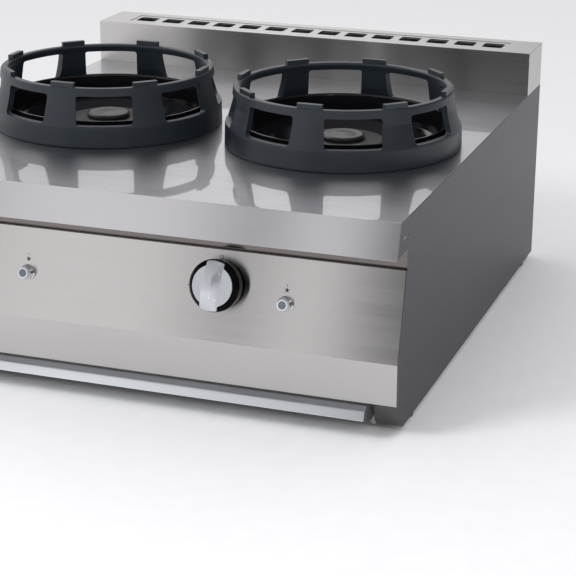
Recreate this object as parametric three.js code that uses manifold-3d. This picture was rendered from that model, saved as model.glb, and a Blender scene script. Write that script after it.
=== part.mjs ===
// Two-burner gas wok range for a countertop, in millimetres, +Z up.
// The origin is on the floor below the middle of the range. The front faces -Y and the right side faces +X.
import * as THREE from "three";
import { mergeVertices } from "three/addons/utils/BufferGeometryUtils.js";
import Module from "manifold-3d";

const wasm = await Module();
wasm.setup();

// ---------- driving dimensions ----------
const WIDTH = 800;
const DEPTH = 900;
const CASE_HEIGHT = 310;
const FOOT_HEIGHT = 10;
const CLEARANCE = 0.3; // between pieces that touch
const CASE_SHEET = 1.5;
const TOP_SHEET = 2;

// Front outline, measured back from the worktop's front edge and down from its surface.
const NOSE = { lean: 15, height: 50, flange: 35, tab: 40, tabGap: 0.4, tabRise: 3 };
const PANEL_TOP = { back: 37, down: 79 };
const PANEL_BEND = { back: 6, down: 207 };
const PANEL_BOTTOM = { back: 7, down: 269 };
const CASE_CORNER = { back: 37, down: 310 };
const PANEL_FLANGE = { top: 14, bottom: 20 };
const FRONT_RAIL = { behindTab: 4, flange: 15 };
const FRAME = { front: -370, width: 30, height: 12 };
const FOOT = { radius: 18, chamfer: 2, inX: 21, front: 100, rear: 60 };

const FLUE = { depth: 100, height: 72, openingWidth: 700, openingDepth: 54 };
const GRILLE = { thickness: 3, sunk: 1, slots: 14, slotShare: 0.72, border: 9 };

// Burner heights are measured from the worktop's surface.
const BURNER = { x: 198, back: 377 };
const RING = {
  baseRadius: 183, bandHeight: 34, shoulder: 48, topRadius: 169, height: 90, wall: 10, seatRadius: 157,
  windows: 8, windowAngle: 28.5, windowTop: 78, padHeight: 7, padAngle: 14, padInset: 3,
};
const BOWL = {
  holeRadius: 84, floorWidth: 18, cutoutRadius: 155, collarRadius: 163, collarHeight: 37, depth: 34,
  wall: 1.6,
};
const HEAD = { radius: 68, holeRadius: 26, bottom: -29, top: 6, slots: 12, slotWidth: 6, slotHeight: 7 };
const CAP = { radius: 34, height: 8, plug: 18 };
const CHAMBER = { radius: 60, height: 46, wall: 6, floor: 12 };
const MIXER = { radius: 17, wall: 3, up: 18, mouthY: -318, flare: 5, throatAt: 40, fullAt: 110 };
const BURNER_RAIL = { width: 30, height: 14, apart: 90 };
const PILOT = { beyondHead: 8, angle: -140, sensorTurn: -12.6, electrodeTurn: 15.5, bracketWidth: 10 };
const BRACKET = { bottom: 20, top: 22.5 };

const KNOB = {
  x: 130, along: 49.4, baseRadius: 36, rimRadius: 37.6, skirtStart: 4.6, rimHeight: 24,
  faceRadius: 30, faceHeight: 31.2, gripLeft: -13, gripRight: 12.5, gripCrest: 0.2, gripRise: 8.2,
  gripReach: 34, gripTurn: -5.5,
};
const STEM = { radius: 4, front: 22.8, back: -36, play: 0.3 };
const WASHER = { radius: 10, back: 5.4, front: 7 };
const VALVE = { width: 36, down: 22, up: 20, front: 13, back: 62, bossRadius: 14, inletRadius: 7 };
const IGNITER = {
  x: 230, along: 66, baseRadius: 11.7, frontRadius: 8.9, bezelHeight: 9.5, buttonRadius: 7.9,
  buttonHeight: 17, shankRadius: 4, bodyRadius: 10, bodyLength: 44,
};
const CONTROL_PITCH = 400; // the left burner's controls are the right one's, moved over

const MANIFOLD = { down: 44, deep: 38, radius: 11, halfLength: 330 }; // from the knob's place on the panel
const FEED = { radius: 3.6, up: 6, nozzleRadius: 6, nozzleLength: 9, gap: 3 };
const SUPPLY = { radius: 7, reach: 40 };
const INLET = { x: 330, z: 60, radius: 14, boreRadius: 9, length: 29.8, floor: 12 };

const TRAY = {
  halfWidth: 345, frontHalfWidth: 361, length: 715, rise: 28, floorGap: 4, flange: 14, back: 13,
};
const GLIDE = { radius: 4.2, bottom: 6.2, back: 5 };
const RUNNER = { beside: 18, foot: 22, lip: 15, back: 300 };
const HANDLE = {
  halfLength: 356.5, capThickness: 3, wall: 2.4, topDown: 271.4, frontLean: 7.2, frontDown: 277,
  lipLean: 10.9, lipDown: 289.6, webDown: 296,
};

// ---------- places worked out from them ----------
const TOP = FOOT_HEIGHT + CASE_HEIGHT;
const EDGE_Y = -DEPTH / 2 + NOSE.lean;
const BACK_Y = DEPTH / 2;
const HALF = WIDTH / 2;
const INNER_X = HALF - CASE_SHEET - CLEARANCE;
const FLUE_Y = BACK_Y - FLUE.depth;
const BURNER_Y = EDGE_Y + BURNER.back;
const CHAMBER_FLOOR = TOP + HEAD.bottom - CHAMBER.height;
const PLATE_BOTTOM = TOP - TOP_SHEET;
const PANEL_HEIGHT = PLATE_BOTTOM - CLEARANCE; // top of the side and back panels

// Points of the front outline as (y, z).
const frontPoint = (p) => [EDGE_Y + p.back, TOP - p.down];
const noseTop = [EDGE_Y, TOP];
const noseBottom = [EDGE_Y - NOSE.lean, TOP - NOSE.height];
const panelTop = frontPoint(PANEL_TOP);
const panelBend = frontPoint(PANEL_BEND);
const panelBottom = frontPoint(PANEL_BOTTOM);
const caseCorner = frontPoint(CASE_CORNER);
const panelRun = [panelTop[0] - panelBend[0], panelTop[1] - panelBend[1]];
const panelLength = Math.hypot(...panelRun);
const panelLean = Math.atan2(...panelRun);
const bevelRun = [caseCorner[0] - panelBottom[0], panelBottom[1] - caseCorner[1]];
const bevelLean = Math.atan2(...bevelRun);
const bevelAt = (z) => panelBottom[0] + ((panelBottom[1] - z) * bevelRun[0]) / bevelRun[1];

const SIDES = [
  { side: "left", sign: -1, knobX: KNOB.x - CONTROL_PITCH, igniterX: IGNITER.x - CONTROL_PITCH },
  { side: "right", sign: 1, knobX: KNOB.x, igniterX: IGNITER.x },
];

// ---------- finishes ----------
function finish(color, roughness, metalness) {
  return new THREE.MeshStandardMaterial({ color, roughness, metalness });
}
const polishedSteel = () => finish(0xc6c6cc, 0.12, 1);
const brushedSteel = () => finish(0xa9a6a6, 0.34, 1);
const innerSteel = () => finish(0x8f9092, 0.5, 1);
const castIron = () => finish(0x2c3238, 0.5, 0.2);
const enamel = () => finish(0x0b0c0e, 0.12, 0);
const brass = () => finish(0xb08a45, 0.35, 1);
const aluminium = () => finish(0xb4b9c2, 0.3, 1);
const blackPlastic = () => finish(0x0c0d0f, 0.25, 0);
const silverPlastic = () => finish(0xc2c5ca, 0.32, 0.6);
const palePlastic = () => finish(0xb9bec6, 0.35, 0);
const rubber = () => finish(0x1c1c1d, 0.85, 0);
const whiteCeramic = () => finish(0xe6e3da, 0.4, 0);

// ---------- shapes ----------
const range = new THREE.Group();

function addPart(name, geometry, material, parent = range) {
  const mesh = new THREE.Mesh(geometry, material);
  mesh.name = name;
  parent.add(mesh);
  return mesh;
}

const upTo = (count) => [...Array(count).keys()];

function box(x0, x1, y0, y1, z0, z1) {
  const block = new THREE.BoxGeometry(x1 - x0, y1 - y0, z1 - z0);
  return block.translate((x0 + x1) / 2, (y0 + y1) / 2, (z0 + z1) / 2);
}

function extrude(outline, length) {
  const shape = new THREE.Shape(outline.map(([a, b]) => new THREE.Vector2(a, b)));
  return new THREE.ExtrudeGeometry(shape, { depth: length, bevelEnabled: false });
}

// A prism along X whose outline is in (y, z).
function prismX(outline, x0, x1) {
  const turn = new THREE.Matrix4().makeBasis(
    new THREE.Vector3(0, 1, 0), new THREE.Vector3(0, 0, 1), new THREE.Vector3(1, 0, 0));
  return extrude(outline, x1 - x0).applyMatrix4(turn).translate(x0, 0, 0);
}

// The same, mirrored to the left side when sign is -1.
function sidePrismX(outline, sign, x0, x1) {
  return sign > 0 ? prismX(outline, x0, x1) : prismX(outline, -x1, -x0);
}

// A prism along Y whose outline is in (x, z).
function prismY(outline, y0, y1) {
  return extrude(outline, y1 - y0).rotateX(Math.PI / 2).translate(0, y1, 0);
}

// A prism along Z whose outline is in (x, y).
function prismZ(outline, z0, z1) {
  return extrude(outline, z1 - z0).translate(0, 0, z0);
}

// A solid turned about Z from a closed outline in (radius, z).
function turned(outline, segments) {
  const points = outline.map(([r, z]) => new THREE.Vector2(r, z));
  if (THREE.ShapeUtils.area(points) < 0) points.reverse();
  points.push(points[0].clone());
  return new THREE.LatheGeometry(points, segments).rotateX(Math.PI / 2);
}

function rod(radius, z0, z1, sides) {
  const cylinder = new THREE.CylinderGeometry(radius, radius, z1 - z0, sides);
  return cylinder.rotateX(Math.PI / 2).translate(0, 0, (z0 + z1) / 2);
}

// A round bar that follows points in space.
function pipe(points, radius, steps, sides) {
  const path = new THREE.CatmullRomCurve3(points.map((p) => new THREE.Vector3(...p)), false, "centripetal");
  const section = new THREE.Shape().absarc(0, 0, radius, 0, 2 * Math.PI);
  return new THREE.ExtrudeGeometry(section, { steps, extrudePath: path, curveSegments: sides / 2 });
}

function direction(from, to) {
  const length = Math.hypot(to[0] - from[0], to[1] - from[1]);
  return [(to[0] - from[0]) / length, (to[1] - from[1]) / length];
}

// The outline of a bent sheet: one face's points, and the same points moved to the left of their run.
function bentSheet(points, thickness) {
  const moved = points.map((p, i) => {
    const before = points[Math.max(i - 1, 0)];
    const after = points[Math.min(i + 1, points.length - 1)];
    const a = i > 0 ? direction(before, p) : direction(p, after);
    const b = i < points.length - 1 ? direction(p, after) : a;
    const miter = thickness / (1 + a[0] * b[0] + a[1] * b[1]);
    return [p[0] - (a[1] + b[1]) * miter, p[1] + (a[0] + b[0]) * miter];
  });
  return [...points, ...moved.reverse()];
}

function solidOf(geometry) {
  const bare = geometry.clone();
  bare.deleteAttribute("normal");
  bare.deleteAttribute("uv");
  const merged = mergeVertices(bare, 1e-3);
  return new wasm.Manifold(new wasm.Mesh({
    numProp: 3,
    vertProperties: new Float32Array(merged.attributes.position.array),
    triVerts: new Uint32Array(merged.index.array),
  }));
}

function geometryOf(solid) {
  const mesh = solid.getMesh();
  const geometry = new THREE.BufferGeometry();
  geometry.setAttribute("position", new THREE.BufferAttribute(new Float32Array(mesh.vertProperties), 3));
  geometry.setIndex(new THREE.BufferAttribute(new Uint32Array(mesh.triVerts), 1));
  return geometry;
}

function join(...pieces) {
  return geometryOf(pieces.map(solidOf).reduce((whole, next) => whole.add(next)));
}

function cut(base, ...tools) {
  return geometryOf(tools.map(solidOf).reduce((left, tool) => left.subtract(tool), solidOf(base)));
}

function common(...pieces) {
  return geometryOf(pieces.map(solidOf).reduce((whole, next) => whole.intersect(next)));
}

// A stretch of a flat ring around a middle angle, for cutting or adding.
function sector(middle, width, r0, r1, z0, z1) {
  const angles = [-0.5, 0, 0.5].map((part) => THREE.MathUtils.degToRad(middle + width * part));
  const arc = (r, turns) => turns.map((a) => [r * Math.cos(a), r * Math.sin(a)]);
  return prismZ([...arc(r1, angles), ...arc(r0, angles.reverse())], z0, z1);
}

// A place on the leaning control panel, with Z along the panel's outward normal.
function panelFrame(x, along) {
  const share = along / panelLength;
  const frame = new THREE.Group();
  frame.position.set(x, panelTop[0] - panelRun[0] * share, panelTop[1] - panelRun[1] * share);
  frame.rotation.x = Math.PI / 2 - panelLean;
  frame.updateMatrix();
  return frame;
}

// ---------- worktop ----------
// One pressed sheet: the plate, the nose that leans forward, a flange under it and a tab at each end.
function worktop() {
  const back = FLUE_Y - CLEARANCE;
  const flangeEnd = [noseBottom[0] + NOSE.flange, noseBottom[1]];
  const sheet = bentSheet([[back, TOP], noseTop, noseBottom, flangeEnd], TOP_SHEET);
  const pressed = prismX(sheet, -HALF + TOP_SHEET, HALF - TOP_SHEET);
  const fullWidth = bentSheet([[back, TOP], noseTop, noseBottom], TOP_SHEET);
  const tabEnd = EDGE_Y + NOSE.tab - NOSE.tabGap;
  const tabBottom = noseBottom[1] + NOSE.tabRise;
  const tab = [
    [noseBottom[0] + 1.4, tabBottom], [tabEnd, tabBottom], [tabEnd, PLATE_BOTTOM + 1],
    [noseTop[0] + 1, TOP - 1],
  ];
  const tabs = SIDES.map(({ sign }) => sidePrismX(tab, sign, HALF - TOP_SHEET - 0.5, HALF));
  const holes = SIDES.map(({ sign }) =>
    rod(BOWL.cutoutRadius, PLATE_BOTTOM - 5, TOP + 5, 48).translate(sign * BURNER.x, BURNER_Y, 0));
  return cut(join(prismX(fullWidth, -HALF, HALF), pressed, ...tabs), ...holes);
}
addPart("worktop", worktop(), polishedSteel());

// ---------- casing ----------
function sidePanel(sign) {
  const front = EDGE_Y + NOSE.tab;
  return sidePrismX([
    [front, PANEL_HEIGHT], [front, panelTop[1] + CLEARANCE],
    panelTop, panelBend, panelBottom, caseCorner,
    [BACK_Y, FOOT_HEIGHT], [BACK_Y, PANEL_HEIGHT],
  ], sign, HALF - CASE_SHEET, HALF);
}

function controlPanel() {
  const sheet = prismX(bentSheet([
    [panelTop[0] + PANEL_FLANGE.top, panelTop[1]], panelTop, panelBend, panelBottom,
    [panelBottom[0] + PANEL_FLANGE.bottom, panelBottom[1]],
  ], CASE_SHEET), -INNER_X, INNER_X);
  const hole = (radius, x, along) => rod(radius, -8, 8, 20).applyMatrix4(panelFrame(x, along).matrix);
  const holes = SIDES.flatMap(({ knobX, igniterX }) => [
    hole(STEM.radius + 2, knobX, KNOB.along), hole(IGNITER.shankRadius + 1, igniterX, IGNITER.along),
  ]);
  return cut(sheet, ...holes);
}

// Channel in the gap between the worktop's nose and the control panel.
function frontRail() {
  const y = EDGE_Y + NOSE.tab + FRONT_RAIL.behindTab;
  const top = PLATE_BOTTOM - 1;
  const bottom = panelTop[1] + CLEARANCE;
  return prismX(bentSheet([
    [y + FRONT_RAIL.flange, top], [y, top], [y, bottom], [y + FRONT_RAIL.flange, bottom],
  ], CASE_SHEET), -INNER_X, INNER_X);
}

function backPanel() {
  const hole = rod(INLET.radius + 0.5, -20, 20, 24).rotateX(Math.PI / 2).translate(INLET.x, BACK_Y, INLET.z);
  return cut(box(-INNER_X, INNER_X, BACK_Y - CASE_SHEET, BACK_Y, FOOT_HEIGHT, PANEL_HEIGHT), hole);
}

// Two side rails and a rear rail under the casing.
function baseFrame() {
  const outer = INNER_X;
  const inner = outer - FRAME.width;
  const rear = BACK_Y - CASE_SHEET - CLEARANCE;
  return prismZ([
    [-outer, FRAME.front], [-inner, FRAME.front], [-inner, rear - FRAME.width], [inner, rear - FRAME.width],
    [inner, FRAME.front], [outer, FRAME.front], [outer, rear], [-outer, rear],
  ], FOOT_HEIGHT, FOOT_HEIGHT + FRAME.height);
}

// Fixed corner piece beside the tray, on the casing's bevelled lower edge.
const skirtTop = panelBottom[1] - CASE_SHEET - 2 * CLEARANCE;
function frontSkirt(sign) {
  return sidePrismX(bentSheet([
    [bevelAt(skirtTop), skirtTop], caseCorner, [FRAME.front - CLEARANCE, caseCorner[1]],
  ], CASE_SHEET), sign, TRAY.frontHalfWidth + 2 * CLEARANCE, INNER_X);
}

function foot() {
  const top = FOOT_HEIGHT - CLEARANCE;
  return turned([
    [0, 0], [FOOT.radius - FOOT.chamfer, 0], [FOOT.radius, FOOT.chamfer], [FOOT.radius, top], [0, top],
  ], 20);
}

addPart("control_panel", controlPanel(), brushedSteel());
addPart("front_rail", frontRail(), innerSteel());
addPart("back_panel", backPanel(), brushedSteel());
addPart("base_frame", baseFrame(), innerSteel());
for (const { side, sign } of SIDES) {
  addPart(`side_panel_${side}`, sidePanel(sign), brushedSteel());
  addPart(`front_skirt_${side}`, frontSkirt(sign), brushedSteel());
  for (const [end, y] of [["front", EDGE_Y + FOOT.front], ["rear", BACK_Y - FOOT.rear]]) {
    addPart(`foot_${end}_${side}`, foot(), rubber()).position.set(sign * (HALF - FOOT.inX), y, 0);
  }
}

// ---------- flue ----------
const flueTop = TOP + FLUE.height;
const flueMiddle = (FLUE_Y + BACK_Y) / 2;

function flueBox() {
  const t = CASE_SHEET;
  const inside = box(-HALF + t, HALF - t, FLUE_Y + t, BACK_Y - t, PLATE_BOTTOM - 5, flueTop - t);
  const x = FLUE.openingWidth / 2;
  const y = FLUE.openingDepth / 2;
  const opening = box(-x, x, flueMiddle - y, flueMiddle + y, flueTop - 10, flueTop + 5);
  return cut(box(-HALF, HALF, FLUE_Y, BACK_Y, PLATE_BOTTOM, flueTop), inside, opening);
}

function flueGrille() {
  const x = FLUE.openingWidth / 2 - CLEARANCE;
  const y = FLUE.openingDepth / 2 - CLEARANCE;
  const top = flueTop - GRILLE.sunk;
  const plate = box(-x, x, flueMiddle - y, flueMiddle + y, top - GRILLE.thickness, top);
  const pitch = (2 * x) / GRILLE.slots;
  const slotX = (pitch * GRILLE.slotShare) / 2;
  const slotY = y - GRILLE.border;
  const slot = box(-slotX, slotX, flueMiddle - slotY, flueMiddle + slotY, top - 10, top + 5);
  const slots = upTo(GRILLE.slots).map((i) => slot.clone().translate(-x + pitch * (i + 0.5), 0, 0));
  return cut(plate, ...slots);
}
addPart("flue_box", flueBox(), brushedSteel());
addPart("flue_grille", flueGrille(), brushedSteel());

// ---------- burners ----------
// A tall band with a window in every eighth, an upright between them, and a raised pad on each upright.
function wokRing() {
  const r = RING;
  const lowerInner = r.baseRadius - r.wall - 1;
  const body = turned([
    [r.baseRadius - 0.5, CLEARANCE], [r.baseRadius, 3], [r.baseRadius - 0.8, r.bandHeight - 3],
    [r.topRadius + 8, r.shoulder], [r.topRadius + 3.5, r.windowTop - 12], [r.topRadius, r.height - 1.5],
    [r.topRadius - 1.5, r.height], [r.seatRadius + 2, r.height], [r.seatRadius, r.height - 3],
    [r.topRadius - r.wall + 1, r.windowTop], [r.topRadius + 7 - r.wall, r.shoulder],
    [lowerInner, r.bandHeight], [lowerInner, CLEARANCE],
  ], 36);
  const step = 360 / r.windows;
  const windows = upTo(r.windows).map((i) =>
    sector((i + 0.5) * step, r.windowAngle, r.seatRadius - 20, r.baseRadius + 20, r.bandHeight, r.windowTop));
  const padOuter = r.topRadius - r.padInset;
  const pads = upTo(r.windows).map((i) =>
    sector(i * step, r.padAngle, r.seatRadius + r.padInset, padOuter, r.height - 1, r.height + r.padHeight));
  return join(cut(body, ...windows), ...pads);
}

// A sheet bowl: a sloping floor round the burner, a flange on the worktop and a collar inside the ring.
function spillBowl() {
  const b = BOWL;
  return turned(bentSheet([
    [b.holeRadius, 5 - b.depth], [b.holeRadius + 4, -b.depth], [b.holeRadius + b.floorWidth, -b.depth],
    [b.cutoutRadius - 4, CLEARANCE], [b.collarRadius, CLEARANCE],
    [b.collarRadius, b.collarHeight - 2], [b.collarRadius + 3, b.collarHeight],
  ], b.wall), 28);
}

// The cast chamber with its mixing tube, whose open mouth faces the injector.
function burnerBody() {
  const c = CHAMBER;
  const m = MIXER;
  const top = c.height - CLEARANCE;
  const chamber = turned([
    [0, 0], [c.radius - 8, 0], [c.radius, 8], [c.radius, top], [c.radius - c.wall, top],
    [c.radius - c.wall, c.floor], [0, c.floor - 6],
  ], 20);
  const length = BURNER_Y - m.mouthY - c.radius + c.wall;
  const bore = m.radius - m.wall;
  const alongY = (geometry) => geometry.rotateX(-Math.PI / 2).translate(0, m.mouthY - BURNER_Y, m.up);
  const tube = alongY(turned([
    [m.radius + m.flare, 0], [m.radius + m.flare, 6], [m.radius - 3, m.throatAt], [m.radius, m.fullAt],
    [m.radius, length], [bore, length], [bore, m.fullAt], [bore - 3, m.throatAt], [m.radius + m.flare - 3, 0],
  ], 14));
  const way = alongY(rod(bore, length - c.wall - 1, length + 14, 16));
  return cut(join(chamber, tube), way);
}

function burnerHead() {
  const h = HEAD;
  const height = h.top - h.bottom;
  const crown = turned([
    [h.holeRadius, CLEARANCE], [h.radius - 14, CLEARANCE], [h.radius - 10, 10], [h.radius, 16],
    [h.radius, height - 5], [h.radius - 6, height], [h.holeRadius, height],
  ], 24);
  const y = h.slotWidth / 2;
  const slotTop = height - 6;
  const slot = box(h.radius - 9, h.radius + 5, -y, y, slotTop - h.slotHeight, slotTop);
  const slots = upTo(h.slots).map((i) => slot.clone().rotateZ((i * 2 * Math.PI) / h.slots));
  return cut(crown, ...slots);
}

function burnerCap() {
  const plugRadius = HEAD.holeRadius - 1;
  return turned([
    [0, -CAP.plug], [plugRadius - 2, -CAP.plug], [plugRadius, 4 - CAP.plug], [plugRadius, CLEARANCE],
    [CAP.radius, CLEARANCE], [CAP.radius, CAP.height - 3], [CAP.radius - 3, CAP.height], [0, CAP.height + 1],
  ], 20);
}

// The pilot with its flame sensor, and the spark electrode, stand beside the head on brackets.
const pilotRadius = HEAD.radius + PILOT.beyondHead;
function onBracket(outline, degrees) {
  return turned(outline, 12).translate(pilotRadius, 0, 0).rotateZ(THREE.MathUtils.degToRad(degrees));
}
function bracket(degrees, inner = CHAMBER.radius + CLEARANCE, width = PILOT.bracketWidth) {
  const plate = box(inner, pilotRadius + 5, -width / 2, width / 2, BRACKET.bottom, BRACKET.top);
  return plate.rotateZ(THREE.MathUtils.degToRad(degrees));
}
function pilotBurner() {
  const sensorAt = PILOT.angle + PILOT.sensorTurn;
  return join(
    bracket(PILOT.angle), bracket((PILOT.angle + sensorAt) / 2, pilotRadius - 5, 24),
    onBracket([[0, 4], [3.6, 4], [3.6, 34], [2.6, 37], [2.6, 45], [0, 45]], PILOT.angle),
    onBracket([[0, 1], [2.2, 1], [2.2, 36], [1.6, 38], [1.6, 51], [0, 52]], sensorAt));
}
function sparkElectrode() {
  const at = PILOT.angle + PILOT.electrodeTurn;
  return join(bracket(at), onBracket([[0, 1], [3.2, 1], [3.2, 36], [1.3, 38], [1.3, 50], [0, 50]], at));
}

for (const { side, sign } of SIDES) {
  const onWorktop = new THREE.Group();
  onWorktop.position.set(sign * BURNER.x, BURNER_Y, TOP);
  const head = new THREE.Group();
  head.position.z = HEAD.bottom;
  const chamber = new THREE.Group();
  chamber.position.z = -CHAMBER.height;
  range.add(onWorktop);
  onWorktop.add(head);
  head.add(chamber);
  addPart(`wok_ring_${side}`, wokRing(), castIron(), onWorktop);
  addPart(`spill_bowl_${side}`, spillBowl(), enamel(), onWorktop);
  addPart(`burner_head_${side}`, burnerHead(), castIron(), head);
  addPart(`burner_cap_${side}`, burnerCap(), castIron(), head).position.z = HEAD.top - HEAD.bottom;
  addPart(`burner_body_${side}`, burnerBody(), castIron(), chamber);
  addPart(`pilot_burner_${side}`, pilotBurner(), brass(), chamber);
  addPart(`spark_electrode_${side}`, sparkElectrode(), whiteCeramic(), chamber);
}

function burnerRail(middleY) {
  const y0 = middleY - BURNER_RAIL.width / 2;
  const y1 = middleY + BURNER_RAIL.width / 2;
  const top = CHAMBER_FLOOR - CLEARANCE;
  const bottom = top - BURNER_RAIL.height;
  return prismX(bentSheet([[y1, bottom], [y1, top], [y0, top], [y0, bottom]], CASE_SHEET), -INNER_X, INNER_X);
}
addPart("burner_rail_front", burnerRail(BURNER_Y - BURNER_RAIL.apart / 2), innerSteel());
addPart("burner_rail_rear", burnerRail(BURNER_Y + BURNER_RAIL.apart / 2), innerSteel());

// ---------- controls ----------
// A hollow black skirt with a bevelled front and a slot across it for the silver grip.
function knobBody() {
  const k = KNOB;
  const seat = k.faceHeight - 2.6;
  const bore = STEM.radius + STEM.play;
  const hollow = WASHER.radius + 2;
  const skirt = turned([
    [hollow, k.skirtStart], [k.baseRadius, k.skirtStart], [k.rimRadius, k.rimHeight - 2.5],
    [k.rimRadius - 0.5, k.rimHeight], [k.faceRadius + 2, k.faceHeight - 0.9],
    [k.faceRadius + CLEARANCE, seat + 1.8], [k.faceRadius + CLEARANCE, seat],
    [bore, seat], [bore, hollow], [hollow, hollow],
  ], 32);
  const reach = k.rimRadius + 2;
  const slotFloor = k.rimHeight - 1;
  const slot = box(
    k.gripLeft - CLEARANCE, k.gripRight + CLEARANCE, -reach, reach, slotFloor, k.faceHeight + 5);
  return cut(skirt, slot);
}

// The silver insert: a disc with a raised grip whose top is an arc and whose right flank slopes to the disc.
function knobFace() {
  const k = KNOB;
  const crest = k.faceHeight + k.gripRise;
  const arcRadius = (k.gripReach ** 2 + k.gripRise ** 2) / (2 * k.gripRise);
  const floor = k.rimHeight - 1 + CLEARANCE;
  const end = k.rimRadius;
  const steps = 10;
  const arch = upTo(steps + 1).map((i) => {
    const y = end - (2 * end * i) / steps;
    return [y, crest - arcRadius + Math.sqrt(arcRadius ** 2 - y ** 2)];
  });
  const sideView = prismX([[-end, floor], [end, floor], ...arch], k.gripLeft - 1, k.gripRight + 1);
  const section = prismY([
    [k.gripLeft, floor - 1], [k.gripRight, floor - 1], [k.gripRight, k.faceHeight], [k.gripCrest, crest],
    [k.gripLeft, crest],
  ], -end - 1, end + 1);
  const reach = rod(end - 1.6, floor - 2, crest + 1, 32);
  return join(common(sideView, section, reach), rod(k.faceRadius, k.faceHeight - 2.2, k.faceHeight, 32));
}

function gasValve() {
  const v = VALVE;
  const boss = rod(v.bossRadius, -v.front - 1, -CASE_SHEET - CLEARANCE, 16);
  const block = box(-v.width / 2, v.width / 2, -v.down, v.up, -v.back, -v.front);
  const inlet = rod(v.inletRadius, v.down - 1, MANIFOLD.down - MANIFOLD.radius - CLEARANCE, 12)
    .rotateX(Math.PI / 2).translate(0, 0, -MANIFOLD.deep);
  return cut(join(boss, block, inlet), rod(STEM.radius + 0.6, STEM.back - 6, 5, 12));
}

function igniterBezel() {
  const i = IGNITER;
  const bore = i.buttonRadius + CLEARANCE;
  return turned([
    [bore, CLEARANCE], [i.baseRadius, CLEARANCE], [i.baseRadius, 1.6],
    [i.frontRadius + 0.4, i.bezelHeight - 0.8], [i.frontRadius, i.bezelHeight], [bore, i.bezelHeight],
  ], 24);
}

function igniterButton() {
  const i = IGNITER;
  const face = i.buttonHeight - 0.8;
  return turned([
    [0, -12], [i.shankRadius, -12], [i.shankRadius, 4.6], [i.buttonRadius, 4.6], [i.buttonRadius, face],
    [i.buttonRadius - 1, i.buttonHeight], [i.buttonRadius - 2, face], [0, face],
  ], 24);
}

function piezoIgniter() {
  const i = IGNITER;
  const body = rod(i.bodyRadius, -i.bodyLength, -CASE_SHEET - CLEARANCE, 16);
  return cut(body, rod(i.shankRadius + 0.5, -20, 5, 12));
}

for (const { side, knobX, igniterX } of SIDES) {
  const valveFrame = panelFrame(knobX, KNOB.along);
  const knobFrame = new THREE.Group();
  knobFrame.rotation.z = THREE.MathUtils.degToRad(KNOB.gripTurn);
  range.add(valveFrame);
  valveFrame.add(knobFrame);
  const hole = STEM.radius + 0.6;
  const washer = turned([
    [hole, WASHER.back], [WASHER.radius, WASHER.back], [WASHER.radius, WASHER.front], [hole, WASHER.front],
  ], 16);
  addPart(`gas_valve_${side}`, gasValve(), brass(), valveFrame);
  addPart(`push_washer_${side}`, washer, innerSteel(), valveFrame);
  addPart(`valve_stem_${side}`, rod(STEM.radius, STEM.back, STEM.front, 16), brass(), knobFrame);
  addPart(`knob_body_${side}`, knobBody(), blackPlastic(), knobFrame);
  addPart(`knob_face_${side}`, knobFace(), silverPlastic(), knobFrame);

  const igniterFrame = panelFrame(igniterX, IGNITER.along);
  range.add(igniterFrame);
  addPart(`igniter_bezel_${side}`, igniterBezel(), polishedSteel(), igniterFrame);
  addPart(`igniter_button_${side}`, igniterButton(), palePlastic(), igniterFrame);
  addPart(`piezo_igniter_${side}`, piezoIgniter(), blackPlastic(), igniterFrame);
}

// ---------- gas line ----------
const manifoldAt = new THREE.Vector3(0, -MANIFOLD.down, -MANIFOLD.deep).applyMatrix4(
  panelFrame(0, KNOB.along).matrix);

function gasManifold() {
  const tube = rod(MANIFOLD.radius, -MANIFOLD.halfLength, MANIFOLD.halfLength, 16);
  return tube.rotateY(Math.PI / 2).translate(0, manifoldAt.y, manifoldAt.z);
}

// Each feed pipe leaves the back of its valve and ends in the injector, short of the burner tube's mouth.
function feedPipe(sign, knobX) {
  const valve = panelFrame(knobX, KNOB.along);
  const behind = (deep) =>
    new THREE.Vector3(0, FEED.up, -VALVE.back - deep).applyMatrix4(valve.matrix).toArray();
  const x = sign * BURNER.x;
  const z = CHAMBER_FLOOR + MIXER.up;
  const end = MIXER.mouthY - FEED.gap;
  const bend = behind(12);
  const line = pipe([
    behind(CLEARANCE), behind(5), bend, [(bend[0] + x) / 2, end - 10, (bend[2] + z) / 2],
    [x, end - 12, z], [x, end - 6, z],
  ], FEED.radius, 12, 6);
  const nozzle = rod(FEED.nozzleRadius, 0, FEED.nozzleLength, 6);
  return join(line, nozzle.rotateX(-Math.PI / 2).translate(x, end - FEED.nozzleLength, z));
}

// Runs from the manifold's right end along the side to the inlet at the back.
function supplyPipe() {
  const { y, z } = manifoldAt;
  const start = MANIFOLD.halfLength + CLEARANCE;
  const side = start + SUPPLY.reach;
  const end = BACK_Y - INLET.length - 0.2 - CLEARANCE;
  return pipe([
    [start, y, z], [start + 8, y, z], [start + 20, y, z], [side, y + 30, z],
    [side, end - 120, INLET.z + 60], [side - 10, end - 40, INLET.z + 10],
    [INLET.x, end - 14, INLET.z], [INLET.x, end, INLET.z],
  ], SUPPLY.radius, 18, 8);
}

function gasInlet() {
  const fitting = turned([
    [0, 0], [INLET.radius, 0], [INLET.radius, INLET.length], [INLET.boreRadius, INLET.length],
    [INLET.boreRadius, INLET.floor], [0, INLET.floor],
  ], 20);
  return fitting.rotateX(-Math.PI / 2).translate(INLET.x, BACK_Y - INLET.length - 0.2, INLET.z);
}

addPart("gas_manifold", gasManifold(), innerSteel());
addPart("supply_pipe", supplyPipe(), innerSteel());
addPart("gas_inlet", gasInlet(), brass());
for (const { side, sign, knobX } of SIDES) addPart(`feed_pipe_${side}`, feedPipe(sign, knobX), innerSteel());

// ---------- drip tray ----------
const trayFloor = FOOT_HEIGHT + TRAY.floorGap;
const trayRim = trayFloor + TRAY.rise;

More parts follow.
